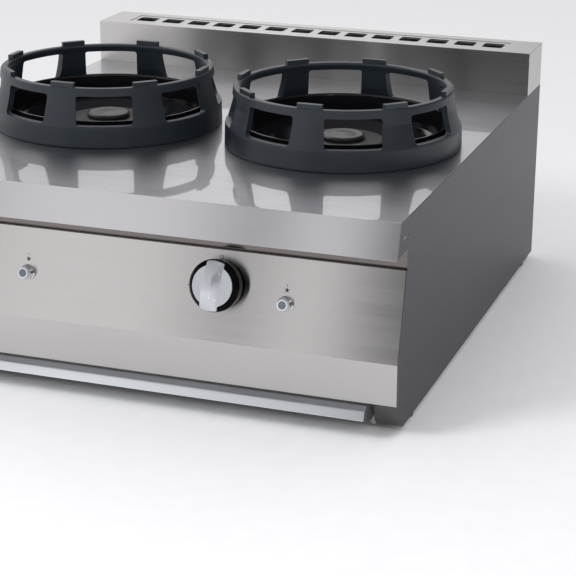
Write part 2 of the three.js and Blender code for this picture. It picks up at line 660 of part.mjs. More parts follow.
function dripTray() {
  const t = CASE_SHEET;
  const x = TRAY.halfWidth;
  const y0 = caseCorner[0] + TRAY.back;
  const y1 = y0 + TRAY.length;
  const hollow = box(-x + t, x - t, y0 + t, y1 - t, trayFloor + t, trayRim + 5);
  const pan = cut(box(-x, x, y0, y1, trayFloor, trayRim), hollow);
  const flange = [[y0 + 4, trayRim - t], [y1, trayRim - t], [y1, trayRim], [y0 + 4, trayRim]];
  return join(pan, ...SIDES.map(({ sign }) => sidePrismX(flange, sign, x - t, x + TRAY.flange)));
}

// The tray's front closes the bevel between the corner pieces and has a small round glide under each end.
function trayFront() {
  const top = skirtTop - CLEARANCE;
  const bottom = FOOT_HEIGHT + 0.4;
  const sheet = prismX(bentSheet([
    [bevelAt(top), top], [bevelAt(bottom), bottom], [caseCorner[0] + TRAY.back - CLEARANCE, bottom],
  ], CASE_SHEET), -TRAY.frontHalfWidth, TRAY.frontHalfWidth);
  const r = GLIDE.radius;
  const glide = turned([
    [0, GLIDE.bottom], [r * 0.55, GLIDE.bottom + 0.4], [r * 0.93, GLIDE.bottom + 1.8],
    [r, bottom + 1], [0, bottom + 1],
  ], 12);
  const glides = SIDES.map(({ sign }) =>
    glide.clone().translate(sign * (TRAY.frontHalfWidth - r), caseCorner[0] + GLIDE.back, 0));
  return join(sheet, ...glides);
}

// The handle's section: a web on the tray front, a ledge over it and a front lip with a finger gap behind.
const offBevel = (down, gap) => [bevelAt(TOP - down) - gap / Math.cos(bevelLean), TOP - down];
const handlePoint = (lean, down) => [EDGE_Y - lean, TOP - down];
const ledgeBack = offBevel(HANDLE.topDown, CLEARANCE);
const webBottom = offBevel(HANDLE.webDown, CLEARANCE);
const lipBottom = handlePoint(HANDLE.lipLean, HANDLE.lipDown);
const roundedNose = [
  handlePoint(HANDLE.frontLean - 1.6, HANDLE.frontDown - 0.6),
  handlePoint(HANDLE.frontLean, HANDLE.frontDown + 1.2),
];

function trayHandle() {
  const w = HANDLE.wall;
  return prismX([
    ledgeBack, ...roundedNose, lipBottom, handlePoint(HANDLE.lipLean - w, HANDLE.lipDown + 0.3),
    handlePoint(HANDLE.frontLean - w - 0.6, HANDLE.frontDown + w), offBevel(HANDLE.frontDown - 0.4, w + 0.6),
    offBevel(HANDLE.webDown, w), webBottom,
  ], -HANDLE.halfLength, HANDLE.halfLength);
}

function handleCap(sign) {
  const start = HANDLE.halfLength + CLEARANCE;
  const bottom = handlePoint(-8, HANDLE.webDown + 0.4);
  const outline = [ledgeBack, ...roundedNose, lipBottom, bottom, webBottom];
  return sidePrismX(outline, sign, start, start + HANDLE.capThickness);
}

// A bent strip on the base frame's side rail, whose lip carries the tray's flange.
function trayRunner(sign) {
  const top = trayRim - CASE_SHEET - CLEARANCE;
  const foot = FOOT_HEIGHT + FRAME.height + CLEARANCE + CASE_SHEET;
  const x = TRAY.halfWidth + RUNNER.beside;
  const strip = bentSheet([[x - RUNNER.lip, top], [x, top], [x, foot], [x + RUNNER.foot, foot]], -CASE_SHEET);
  return prismY(strip.map(([a, z]) => [a * sign, z]), FRAME.front + 2, RUNNER.back);
}

addPart("drip_tray", dripTray(), innerSteel());
addPart("tray_front", trayFront(), brushedSteel());
addPart("tray_handle", trayHandle(), aluminium());
for (const { side, sign } of SIDES) {
  addPart(`handle_cap_${side}`, handleCap(sign), blackPlastic());
  addPart(`tray_runner_${side}`, trayRunner(sign), innerSteel());
}

export default range;
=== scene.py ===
import math

import bmesh
import bpy
from mathutils import Matrix, Vector


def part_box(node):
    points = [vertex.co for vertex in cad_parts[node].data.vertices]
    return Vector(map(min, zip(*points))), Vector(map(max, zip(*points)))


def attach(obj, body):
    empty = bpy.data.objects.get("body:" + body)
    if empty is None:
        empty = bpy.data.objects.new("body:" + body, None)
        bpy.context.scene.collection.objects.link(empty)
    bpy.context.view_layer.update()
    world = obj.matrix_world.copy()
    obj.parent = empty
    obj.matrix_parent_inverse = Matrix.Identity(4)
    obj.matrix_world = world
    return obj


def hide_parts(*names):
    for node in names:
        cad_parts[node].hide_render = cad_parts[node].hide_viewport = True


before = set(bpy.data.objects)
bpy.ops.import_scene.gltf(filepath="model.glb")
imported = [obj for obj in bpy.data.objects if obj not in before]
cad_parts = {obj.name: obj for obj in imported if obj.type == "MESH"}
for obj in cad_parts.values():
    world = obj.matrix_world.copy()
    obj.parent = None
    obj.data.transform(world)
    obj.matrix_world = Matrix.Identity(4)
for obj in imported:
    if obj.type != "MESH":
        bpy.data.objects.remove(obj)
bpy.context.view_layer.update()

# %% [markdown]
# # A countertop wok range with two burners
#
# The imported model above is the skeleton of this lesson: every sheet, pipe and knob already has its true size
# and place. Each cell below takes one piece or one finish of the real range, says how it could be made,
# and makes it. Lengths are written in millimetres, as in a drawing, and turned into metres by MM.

MM = 0.001
SIDES = ("left", "right")

# %% [markdown]
# ## Where the camera stands
#
# The picture is square and was taken from the front right, a little above the worktop, with a long lens.
# A camera could be aimed with a constraint, but a place and three angles say exactly where it stands,
# and the same numbers give its three axes: right, up and backwards.

# %% Camera
PICTURE_PIXELS = 576
FOCAL_PIXELS = 1854.5
SENSOR_MM = 36
CAMERA_PLACE = Vector((1031.5, -2713.7, 1053.3)) * MM
CAMERA_YAW = math.radians(19.139)
CAMERA_PITCH = math.radians(19.284)
CAMERA_ROLL = math.radians(0.402)
CAMERA_SEES = (0.05, 60)  # from and to, in metres


def make_camera():
    forward = Vector((-math.sin(CAMERA_YAW) * math.cos(CAMERA_PITCH),
                      math.cos(CAMERA_YAW) * math.cos(CAMERA_PITCH), -math.sin(CAMERA_PITCH)))
    level = Vector((math.cos(CAMERA_YAW), math.sin(CAMERA_YAW), 0))
    upright = level.cross(forward)
    right = level * math.cos(CAMERA_ROLL) + upright * math.sin(CAMERA_ROLL)
    up = upright * math.cos(CAMERA_ROLL) - level * math.sin(CAMERA_ROLL)
    data = bpy.data.cameras.new("camera")
    data.sensor_width = SENSOR_MM
    data.lens = SENSOR_MM * FOCAL_PIXELS / PICTURE_PIXELS
    data.clip_start, data.clip_end = CAMERA_SEES
    made = bpy.data.objects.new("camera", data)
    bpy.context.scene.collection.objects.link(made)
    turn = Matrix((right, up, -forward)).transposed().to_4x4()
    made.matrix_world = Matrix.Translation(CAMERA_PLACE) @ turn
    return made


camera = make_camera()
bpy.context.scene.camera = camera
bpy.context.scene.view_settings.view_transform = "Standard"
print("lens of the camera (mm):", round(camera.data.lens, 1))

# %% [markdown]
# ## One way to write nodes
#
# Finishes, the sky and the growing shapes are all trees of nodes. Wiring them by hand repeats the same
# three lines again and again, so this helper adds a node, sets its options and fills or links its inputs.

# %% A helper for every node tree


def add_node(tree, kind, inputs=None, **options):
    node = tree.nodes.new(kind)
    for name, value in options.items():
        setattr(node, name, value)
    for name, value in (inputs or {}).items():
        socket = node.inputs[name]
        if isinstance(value, bpy.types.NodeSocket):
            tree.links.new(value, socket)
        else:
            socket.default_value = value
    return node


def calculate(tree, operation, *values):
    numbered = dict(enumerate(values))
    return add_node(tree, "ShaderNodeMath", numbered, operation=operation).outputs[0]


# %% [markdown]
# ## The room that the steel mirrors
#
# Bare steel shows its surroundings, so the sky matters as much as the lamps. A photograph of a studio could
# be wrapped round the scene, but a ramp over the compass direction does the same with a few numbers: bright
# screens and dark gaps stand round the cook's side of the range, and grain that runs from side to side
# smears them into tall soft bands. Behind the range the room is plain white, as the camera sees it.
# Matt surfaces get one even level from all round, so that a colour renders about as it is written.

# %% Screens round the range
EVEN_LEVEL = 0.80
# Compass direction in degrees, from behind on the right, over the cook's side at 0, to behind on the left,
# with the grey of the screen that stands there.
SCREENS = [
    (-180, 0.45), (-172, 0.3), (-150, 0.12), (-95, 0.1), (-60, 0.15), (-42, 0.2), (-25, 0.3), (-8, 0.45),
    (4, 0.3), (11, 0.0), (14.4, 0.0), (15.4, 0.2), (16.4, 0.75), (17.2, 1.3), (18.0, 1.3), (18.9, 0.5),
    (19.9, 0.4), (21.2, 0.85), (22.6, 1.1), (27, 1.1), (31, 0.6), (40, 0.95), (70, 0.8), (110, 0.85),
    (150, 0.7), (156, 0.82), (160, 1.0), (163, 0.9), (165.5, 0.72), (169, 0.6), (180, 0.45),
]
# The same for the glow above the screens, which the haze on the worktop picks up.
GLOW = [
    (-180, 0.8), (-150, 0.1), (-90, 0.15), (-40, 0.4), (30, 0.6), (80, 0.8), (125, 2.2), (158, 2.2),
    (180, 0.8),
]
ZENITH = 0.3
# Heights on the sky's sphere (Z from -1 to 1) between which one zone fades into the next.
SCREENS_TO_GLOW = (0.36, 0.56)
GLOW_TO_ZENITH = (0.70, 0.88)
ZENITH_BLUE = 1.08
EVEN_BLUE = 1.02
print("steps of the screens and of the glow:", len(SCREENS), len(GLOW))

# %% [markdown]
# ### Wiring the sky
#
# The direction of a ray gives a compass place, and each ramp turns that place into a grey. The ray's height
# picks the zone. Only mirrored rays see the zones: the camera sees white, and matt surfaces the even level.

# %% Sky


def compass_ramp(tree, place, greys):
    ramp = add_node(tree, "ShaderNodeValToRGB", {"Fac": place})
    stops = ramp.color_ramp.elements
    while len(stops) < len(greys):
        stops.new(0.5)
    for stop, (degrees, grey) in zip(stops, greys):
        stop.position = degrees / 360 + 0.5
        stop.color = (grey, grey, grey, 1)
    return ramp.outputs["Color"]


def fade(tree, height, limits):
    """0 below the first limit, 1 above the second, and a smooth step between them."""
    return add_node(tree, "ShaderNodeMapRange", {
        "Value": height, "From Min": limits[0], "From Max": limits[1]},
        interpolation_type="SMOOTHSTEP").outputs["Result"]


def make_sky():
    world = bpy.data.worlds.new("studio")
    bpy.context.scene.world = world
    world.use_nodes = True
    tree = world.node_tree
    tree.nodes.clear()
    direction = add_node(tree, "ShaderNodeTexCoord").outputs["Generated"]
    parts = add_node(tree, "ShaderNodeSeparateXYZ", {"Vector": direction}).outputs
    to_left = calculate(tree, "MULTIPLY", parts["X"], -1.0)
    to_cook = calculate(tree, "MULTIPLY", parts["Y"], -1.0)
    compass = calculate(tree, "ARCTAN2", to_left, to_cook)
    place = calculate(tree, "MULTIPLY_ADD", compass, 0.5 / math.pi, 0.5)
    screens = compass_ramp(tree, place, SCREENS)
    glow = compass_ramp(tree, place, GLOW)
    # The screens end a little above the range, then comes the glow, and the zenith is dim.
    above = fade(tree, parts["Z"], SCREENS_TO_GLOW)
    overhead = fade(tree, parts["Z"], GLOW_TO_ZENITH)
    walls = add_node(tree, "ShaderNodeMix", {0: above, 6: screens, 7: glow}, data_type="RGBA")
    seen = add_node(tree, "ShaderNodeMix", {
        0: overhead, 6: walls.outputs[2], 7: (ZENITH, ZENITH, ZENITH * ZENITH_BLUE, 1)}, data_type="RGBA")
    light_path = add_node(tree, "ShaderNodeLightPath").outputs
    mirrored = calculate(tree, "MAXIMUM", light_path["Is Glossy Ray"], light_path["Is Transmission Ray"])
    room = add_node(tree, "ShaderNodeMix", {
        0: mirrored, 6: (EVEN_LEVEL, EVEN_LEVEL, EVEN_LEVEL * EVEN_BLUE, 1), 7: seen.outputs[2]},
        data_type="RGBA")
    backdrop = add_node(tree, "ShaderNodeMix", {
        0: light_path["Is Camera Ray"], 6: room.outputs[2], 7: (1, 1, 1, 1)}, data_type="RGBA")
    shining = add_node(tree, "ShaderNodeBackground", {"Color": backdrop.outputs[2], "Strength": 1.0})
    add_node(tree, "ShaderNodeOutputWorld", {"Surface": shining.outputs[0]})
    return world


print("nodes in the sky:", len(make_sky().node_tree.nodes))

# %% [markdown]
# ## Lamps and floor
#
# One large soft lamp hangs at the upper left of the cook, so that the knob throws its shade down to the
# right. A wide weak one on the right keeps the cast iron readable, and a small one, the only lamp that
# mirrors show, puts glints on glossy plastic. The floor is pale and plain, and keeps the shadow.

# %% Lamps
KEY_LAMP = {"place": (-1.7, -2.3, 2.6), "width": 1.1, "watts": 52, "in_mirrors": False}
FILL_LAMP = {"place": (2.4, -2.2, 1.7), "width": 1.8, "watts": 14, "in_mirrors": False}
GLINT_LAMP = {"place": (2.1, -2.9, 2.4), "width": 0.4, "watts": 4.5, "in_mirrors": True}
LOOK_AT = Vector((0.1, -0.2, 0.25))


def hang_lamp(name, place, width, watts, in_mirrors):
    data = bpy.data.lights.new(name, "AREA")
    data.shape = "SQUARE"
    data.size = width
    data.energy = watts
    lamp = bpy.data.objects.new(name, data)
    lamp.location = place
    lamp.rotation_euler = (LOOK_AT - Vector(place)).to_track_quat("-Z", "Y").to_euler()
    lamp.visible_glossy = in_mirrors
    bpy.context.scene.collection.objects.link(lamp)
    return lamp


key_lamp = hang_lamp("key_lamp", **KEY_LAMP)
fill_lamp = hang_lamp("fill_lamp", **FILL_LAMP)
glint_lamp = hang_lamp("glint_lamp", **GLINT_LAMP)
print("lamps (W):", [lamp.data.energy for lamp in (key_lamp, fill_lamp, glint_lamp)])

# %% [markdown]
# ## Finishes
#
# Every finish starts from one Principled shader. Constant values sit on its own sockets; only what really
# varies over the surface comes from textures. The patterns read Object coordinates, which are metres here,
# so that a grain keeps its true scale on every sheet. Rounded edges carry an attribute called "edge", made
# later with the bevels: it is 1 on the rounding and 0 elsewhere, and it is painted lighter, partly from
# rubbing and partly as a painted highlight.

# %% What all finishes share


def new_finish(name, colour, roughness, metallic=0.0, **constants):
    material = bpy.data.materials.new(name)
    material.use_nodes = True
    shader = material.node_tree.nodes["Principled BSDF"]
    shader.inputs["Base Color"].default_value = (*colour, 1)
    shader.inputs["Roughness"].default_value = roughness
    shader.inputs["Metallic"].default_value = metallic
    for socket, value in constants.items():
        shader.inputs[socket.replace("_", " ")].default_value = value
    return material, material.node_tree, shader


def pattern(tree, scale, detail=3.0, distortion=0.0):
    """Noise on Object coordinates; scale is how many changes there are in a metre, along x, y and z."""
    place = add_node(tree, "ShaderNodeTexCoord").outputs["Object"]
    stretched = add_node(tree, "ShaderNodeMapping", {"Vector": place, "Scale": scale}).outputs[0]
    noise = add_node(tree, "ShaderNodeTexNoise", {
        "Vector": stretched, "Scale": 1.0, "Detail": detail, "Distortion": distortion})
    return noise.outputs["Fac"]


def between(tree, share, low, high, start=0.3, end=0.7):
    """Carries a pattern's share from start..end to low..high."""
    made = add_node(tree, "ShaderNodeMapRange", {
        "Value": share, "From Min": start, "From Max": end, "To Min": low, "To Max": high})
    return made.outputs["Result"]


def blend_colours(tree, share, first, second):
    sockets = {0: share, 6: first if hasattr(first, "node") else (*first, 1),
               7: second if hasattr(second, "node") else (*second, 1)}
    return add_node(tree, "ShaderNodeMix", sockets, data_type="RGBA").outputs[2]


def rubbed_edge_and_highlight(tree, breakup_scale=90):
    """The share of rubbing and painted highlight: the edge attribute, broken up by a pattern."""
    edge = add_node(tree, "ShaderNodeAttribute", attribute_name="edge").outputs["Fac"]
    patchy = between(tree, pattern(tree, (breakup_scale,) * 3), 0.35, 1.0)
    return calculate(tree, "MULTIPLY", edge, patchy)


def shade(colour, amount):
    return tuple(min(1.0, c * amount) for c in colour)


# %% [markdown]
# ### Brushed steel
#
# A belt draws fine lines along the sheet. Modelling them would take millions of faces, but a noise that is
# stretched a hundredfold along the grain gives the same streaks to colour, roughness and bump. The shader's
# anisotropy spreads each reflection across the grain, which turns the studio's screens into upright bands.
# The Tangent vector says which way a reflection is drawn out, so each sheet gets the finish for its facing.

# %% Brushed steel
STEEL = (0.53, 0.517, 0.512)
GRAIN_LENGTH = 7.0  # changes in a metre, along the grain
GRAIN_FINE = 620.0  # and across it
LONG_STREAKS = 0.16  # of those counts, for the streaks that run through
GRAIN_RELIEF = 0.02


def brushed_steel(name, colour, roughness, along, drawn_out, anisotropy, contrast=0.016, grazing=1.0):
    """Grain along one axis. Reflections smear along drawn_out, and a low grazing value dims flat views."""
    material, tree, shader = new_finish(
        name, colour, roughness, 1.0, Anisotropic=anisotropy, Specular_Tint=(grazing, grazing, grazing, 1))
    across = [GRAIN_FINE] * 3
    across["xyz".index(along)] = GRAIN_LENGTH
    streaks = pattern(tree, across, 4.0)
    long_streaks = pattern(tree, [value * LONG_STREAKS for value in across], 2.0)
    cloudy = pattern(tree, (5.0, 5.0, 5.0), 2.0)
    grain = calculate(tree, "MULTIPLY_ADD", long_streaks, 0.6, calculate(tree, "MULTIPLY", streaks, 0.4))
    tint = blend_colours(
        tree, between(tree, grain, 0, 1), shade(colour, 1 - contrast), shade(colour, 1 + contrast))
    tint = blend_colours(tree, between(tree, cloudy, 0.0, 0.35), tint, shade(colour, 0.93))
    # The edge attribute lightens the roundings: rubbing, and a painted highlight along the folds.
    wear_and_highlight = rubbed_edge_and_highlight(tree)
    tint = blend_colours(tree, wear_and_highlight, tint, shade(colour, 1.3))
    tree.links.new(tint, shader.inputs["Base Color"])
    matt = between(tree, grain, roughness - 0.012, roughness + 0.014)
    worn = calculate(tree, "MULTIPLY_ADD", wear_and_highlight, -0.08, matt)
    tree.links.new(worn, shader.inputs["Roughness"])
    bump = add_node(tree, "ShaderNodeBump", {"Strength": GRAIN_RELIEF, "Distance": 0.0002, "Height": grain})
    tree.links.new(bump.outputs[0], shader.inputs["Normal"])
    drawn = add_node(tree, "ShaderNodeCombineXYZ", dict(enumerate(drawn_out)))
    tree.links.new(drawn.outputs[0], shader.inputs["Tangent"])
    return material


panel_steel = brushed_steel("panel_steel", STEEL, 0.165, "x", (0, 0.3, 1), 0.97)
nose_steel = brushed_steel("nose_steel", (0.54, 0.53, 0.555), 0.16, "x", (0, 0.3, 1), 0.97)
# Painted shade: the sides get a steel far darker than real steel, with a dimmed grazing tint, standing in for
# the shaded floor they mirror.
painted_shade_side_steel = brushed_steel("painted_shade_side_steel", (0.135, 0.129, 0.146), 0.33, "y", (0, 0, 1), 0.7, grazing=0.65)
back_steel = brushed_steel("back_steel", shade(STEEL, 0.9), 0.36, "x", (0, 0, 1), 0.5)
flue_steel = brushed_steel("flue_steel", STEEL, 0.28, "x", (0, 1, 0.3), 0.6)
# Painted shade: the corner skirts face down into the shade under the range, and this dark steel stands in for
# it.
painted_shade_skirt_steel = brushed_steel("painted_shade_skirt_steel", (0.14, 0.14, 0.142), 0.42, "x", (0, 0.3, 1), 0.4)
print("brushed finishes:", [m.name for m in bpy.data.materials if m.name.endswith("_steel")])

# %% [markdown]
# ### Polished steel
#
# The worktop is polished until it mirrors the rings, yet the mirrored iron is grey and not black: under the
# sharp reflection lies a broad one, from the fine haze that wiping leaves. One rough lobe alone would blur
# the mirror image. So the metal carries the haze and a clear coat carries the sharp image. Faint wiping
# marks vary the haze, and a very low wave bends straight reflections a little, as in any thin sheet.

# %% Polished steel
POLISHED = (0.40, 0.395, 0.425)


def polished_steel(name, colour):
    material, tree, shader = new_finish(
        name, colour, 0.36, 1.0, Coat_Weight=1.0, Coat_Roughness=0.03, Coat_IOR=2.45)
    smears = pattern(tree, (9.0, 26.0, 9.0), 4.0, 1.2)
    cloudy = pattern(tree, (3.0, 3.0, 3.0), 2.0)
    hair_lines = pattern(tree, (12.0, 700.0, 700.0), 3.0)
    tint = blend_colours(tree, between(tree, smears, 0, 1), shade(colour, 0.93), shade(colour, 1.07))
    # Roundings painted twice as bright: mostly a painted highlight on the folds, with some rubbing.
    tint = blend_colours(tree, rubbed_edge_and_highlight(tree), tint, shade(colour, 2.0))
    tree.links.new(tint, shader.inputs["Base Color"])
    tree.links.new(between(tree, cloudy, 0.32, 0.42), shader.inputs["Roughness"])
    low_wave = add_node(tree, "ShaderNodeBump", {
        "Strength": 0.10, "Distance": 0.002, "Height": pattern(tree, (4.0, 4.0, 4.0), 1.0)})
    lines = add_node(tree, "ShaderNodeBump", {
        "Strength": 0.03, "Distance": 0.0001, "Height": hair_lines, "Normal": low_wave.outputs[0]})
    tree.links.new(lines.outputs[0], shader.inputs["Normal"])
    tree.links.new(low_wave.outputs[0], shader.inputs["Coat Normal"])
    return material


worktop_polish = polished_steel("worktop_polish", POLISHED)
print("polished finish:", worktop_polish.name)

# %% [markdown]
# ### Plain steel, aluminium, brass and chrome
#
# Inside the casing nobody polishes anything: mill-finish steel is dull, cloudy and lightly stained.
# The drawn aluminium handle has lines along its length under a satin oxide layer. Machined brass shows
# turning marks, and the chrome of the igniter's ring is almost a perfect mirror.

# %% Other metals


def cloudy_metal(name, colour, roughness, cloud_scale=22.0, spread=0.1, stain=0.75, relief=0.06):
    material, tree, shader = new_finish(name, colour, roughness, 1.0)
    clouds = pattern(tree, (cloud_scale,) * 3, 5.0, 0.6)
    stains = pattern(tree, (cloud_scale * 0.2,) * 3, 2.0)
    tint = blend_colours(tree, between(tree, stains, 0, 0.6), colour, shade(colour, stain))
    # Rounded edges painted lighter: rubbing and a painted highlight.
    tint = blend_colours(tree, rubbed_edge_and_highlight(tree), tint, shade(colour, 1.35))
    tree.links.new(tint, shader.inputs["Base Color"])
    tree.links.new(between(tree, clouds, roughness - spread, roughness + spread), shader.inputs["Roughness"])
    bump = add_node(tree, "ShaderNodeBump", {"Strength": relief, "Distance": 0.0003, "Height": clouds})
    tree.links.new(bump.outputs[0], shader.inputs["Normal"])
    return material


mill_steel = cloudy_metal("mill_steel", (0.40, 0.40, 0.41), 0.42)
# Painted shade: the rail shows only in the shaded gap under the worktop's edge, and its dark colour stands in
# for that shade.
painted_shade_rail_steel = cloudy_metal("painted_shade_rail_steel", (0.19, 0.172, 0.166), 0.13, 9.0, 0.03, relief=0.01)
brass_turned = cloudy_metal("brass_turned", (0.60, 0.43, 0.19), 0.33, 60.0, 0.08, 0.6)
chrome_bright = cloudy_metal("chrome_bright", (0.78, 0.78, 0.79), 0.12, 140.0, 0.04, 0.93, 0.02)
screw_zinc = cloudy_metal("screw_zinc", (0.62, 0.62, 0.63), 0.26, 400.0, 0.08, 0.8)
handle_aluminium = brushed_steel(
    "handle_aluminium", (0.70, 0.725, 0.76), 0.24, "x", (0, 0.3, 1), 0.8, contrast=0.03)
print("metals:", mill_steel.name, painted_shade_rail_steel.name, brass_turned.name, chrome_bright.name)

# %% [markdown]
# ### Cast iron and enamel
#
# The rings are cast iron under a smooth slate-coloured skin: dark, satin, with a faint orange peel from the
# mould and corners painted lighter, from rubbing and as a painted highlight. The bowls have a black glass
# enamel, glossy enough to catch thin bright lines.

# %% Cast iron and enamel


def cast_iron(name, colour, roughness, relief, coat=0.0):
    material, tree, shader = new_finish(name, colour, roughness, 0.0, Coat_Weight=coat, Coat_Roughness=0.22)
    peel = pattern(tree, (420.0,) * 3, 3.0)
    clouds = pattern(tree, (14.0,) * 3, 4.0, 0.4)
    tint = blend_colours(tree, between(tree, clouds, 0, 1), shade(colour, 0.82), shade(colour, 1.2))
    # Rounded edges painted lighter: rubbing and a painted highlight.
    tint = blend_colours(tree, rubbed_edge_and_highlight(tree, 160), tint, shade(colour, 2.1))
    tree.links.new(tint, shader.inputs["Base Color"])
    tree.links.new(between(tree, clouds, roughness - 0.07, roughness + 0.08), shader.inputs["Roughness"])
    bump = add_node(tree, "ShaderNodeBump", {"Strength": relief, "Distance": 0.0004, "Height": peel})
    tree.links.new(bump.outputs[0], shader.inputs["Normal"])
    return material


def glass_enamel(name, colour):
    material, tree, shader = new_finish(name, colour, 0.09, 0.0, Specular_IOR_Level=0.4)
    ripple = pattern(tree, (60.0,) * 3, 2.0)
    dust = pattern(tree, (900.0,) * 3, 2.0)
    tree.links.new(between(tree, ripple, 0.06, 0.14), shader.inputs["Roughness"])
    tint = blend_colours(tree, between(tree, dust, 0, 1, 0.55, 0.8), colour, shade(colour, 2.2))
    tree.links.new(tint, shader.inputs["Base Color"])
    bump = add_node(tree, "ShaderNodeBump", {"Strength": 0.05, "Distance": 0.0006, "Height": ripple})
    tree.links.new(bump.outputs[0], shader.inputs["Normal"])
    return material


ring_iron = cast_iron("ring_iron", (0.0135, 0.019, 0.026), 0.42, 0.08, 0.10)
burner_iron = cast_iron("burner_iron", (0.030, 0.030, 0.032), 0.62, 0.35)
cap_iron = cast_iron("cap_iron", (0.010, 0.010, 0.012), 0.30, 0.12)
bowl_enamel = glass_enamel("bowl_enamel", (0.004, 0.004, 0.005))
print("iron and enamel:", ring_iron.name, burner_iron.name, bowl_enamel.name)

# %% [markdown]
# ### Plastics, rubber, ceramic and print
#
# Moulded parts differ by gloss and by a very fine moulding texture. The knob's black is glossy, its silver
# face is a satin paint with tiny flakes, and the end caps are matt. The print on the panel is a thin ink.

# %% Plastics and prints


def moulded(name, colour, roughness, texture_scale=900.0, relief=0.05, metallic=0.0,
            variation=0.08, **constants):
    material, tree, shader = new_finish(name, colour, roughness, metallic, **constants)
    texture = pattern(tree, (texture_scale,) * 3, 2.0)
    clouds = pattern(tree, (35.0,) * 3, 3.0)
    tint = blend_colours(
        tree, between(tree, clouds, 0, 1), shade(colour, 1 - variation), shade(colour, 1 + variation))
    # Rounded edges painted lighter: rubbing and a painted highlight.
    tint = blend_colours(tree, rubbed_edge_and_highlight(tree, 300), tint, shade(colour, 1.25))
    tree.links.new(tint, shader.inputs["Base Color"])
    tree.links.new(between(tree, clouds, roughness * 0.85, roughness * 1.2), shader.inputs["Roughness"])
    bump = add_node(tree, "ShaderNodeBump", {"Strength": relief, "Distance": 0.0001, "Height": texture})
    tree.links.new(bump.outputs[0], shader.inputs["Normal"])
    return material


knob_black = moulded("knob_black", (0.0022, 0.0022, 0.003), 0.11, IOR=1.12)
knob_silver = moulded("knob_silver", (0.60, 0.62, 0.66), 0.30, 2600.0, 0.008, 0.9, 0.04)
pointer_white = moulded("pointer_white", (0.86, 0.87, 0.90), 0.4, variation=0.03)
button_pale = moulded("button_pale", (0.66, 0.68, 0.72), 0.28, 1200.0, 0.03, 0.1)
button_blue = moulded("button_blue", (0.115, 0.13, 0.155), 0.3, 500.0, 0.12)
cap_plastic = moulded("cap_plastic", (0.055, 0.056, 0.058), 0.5, 1200.0, 0.2)
piezo_plastic = moulded("piezo_plastic", (0.02, 0.02, 0.022), 0.45, 900.0, 0.1)
electrode_ceramic = moulded("electrode_ceramic", (0.78, 0.76, 0.70), 0.32, 700.0, 0.08)
foot_rubber = moulded("foot_rubber", (0.018, 0.018, 0.019), 0.8, 700.0, 0.3, variation=0.2)
panel_ink = moulded("panel_ink", (0.03, 0.03, 0.032), 0.55, variation=0.15)
pale_floor = moulded("pale_floor", (0.90, 0.90, 0.903), 0.8, 200.0, 0.02, variation=0.01)
print("finishes in all:", len(bpy.data.materials))

# %% [markdown]
# ### The floor
#
# The floor is one large pale square. It belongs to the stage and not to the range.

# %% Floor
FLOOR_WIDTH = 40.0


def lay_floor():
    half = FLOOR_WIDTH / 2
    mesh = bpy.data.meshes.new("floor")
    corners = [(-half, -half, 0), (half, -half, 0), (half, half, 0), (-half, half, 0)]
    mesh.from_pydata(corners, [], [(0, 1, 2, 3)])
    mesh.materials.append(pale_floor)
    made = bpy.data.objects.new("floor", mesh)
    bpy.context.scene.collection.objects.link(made)
    return made


print("floor:", lay_floor().name)

# %% [markdown]
# ## Bent and pressed sheet
#
# A folded sheet has no sharp edges: each fold has a radius of about two millimetres and each cut edge a
# small burr radius. Those roundings draw the thin bright lines along the front of the range. They could be
# modelled by hand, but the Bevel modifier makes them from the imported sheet, with a weight on each edge:
# full for a fold, small for a cut edge. The faces that it adds are marked, and become the "edge" attribute.
# Weighted normals then keep the large faces flat in the reflections.

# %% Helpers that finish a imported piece
SAME_PLACE = 0.00002  # points closer than this, in metres, are one point
FLAT_ANGLE = math.radians(0.6)  # faces that turn less than this are one face


def settle(piece):
    """Turns a piece with live modifiers into a plain mesh."""
    graph = bpy.context.evaluated_depsgraph_get()
    evaluated = piece.evaluated_get(graph)
    mesh = bpy.data.meshes.new_from_object(evaluated, preserve_all_data_layers=True, depsgraph=graph)
    piece.modifiers.clear()
    piece.data = mesh
    return mesh


def link_piece(name, mesh, *materials):
    mesh.materials.clear()
    for material in materials:
        mesh.materials.append(material)
    made = bpy.data.objects.new(name, mesh)
    bpy.context.scene.collection.objects.link(made)
    return made


def mount(piece, body, slot, *nodes):
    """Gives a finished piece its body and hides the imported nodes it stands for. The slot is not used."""
    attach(piece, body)
    if nodes:
        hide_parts(*nodes)
    return piece


def merged_copy(node):
    """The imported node's mesh with its loose triangles joined into whole faces."""
    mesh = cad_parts[node].data.copy()
    work = bmesh.new()
    work.from_mesh(mesh)
    bmesh.ops.remove_doubles(work, verts=work.verts, dist=SAME_PLACE)
    bmesh.ops.dissolve_limit(work, angle_limit=FLAT_ANGLE, verts=work.verts, edges=work.edges)
    work.to_mesh(mesh)
    work.free()
    return mesh


print("whole faces of the worktop:", len(merged_copy("worktop").polygons))

# %% [markdown]
# ### Rounding the edges
#
# One function sets the weights, runs the Bevel modifier and writes the "edge" attribute. A second one adds
# the weighted normals, and a third takes a packed sheet through all of it.

# %% Rounding
CUT_EDGE_SHARE = 0.22  # of the fold's radius
SMOOTH_ANGLE = math.radians(38)
NORMAL_WEIGHT = 100  # large faces decide the normals
FOLD_LENGTH = 0.3  # a fold along the front is longer than this, in metres
ALONG_X = 0.999  # share of an edge's length that lies along x
FOLD_REACH = 2.6 * MM


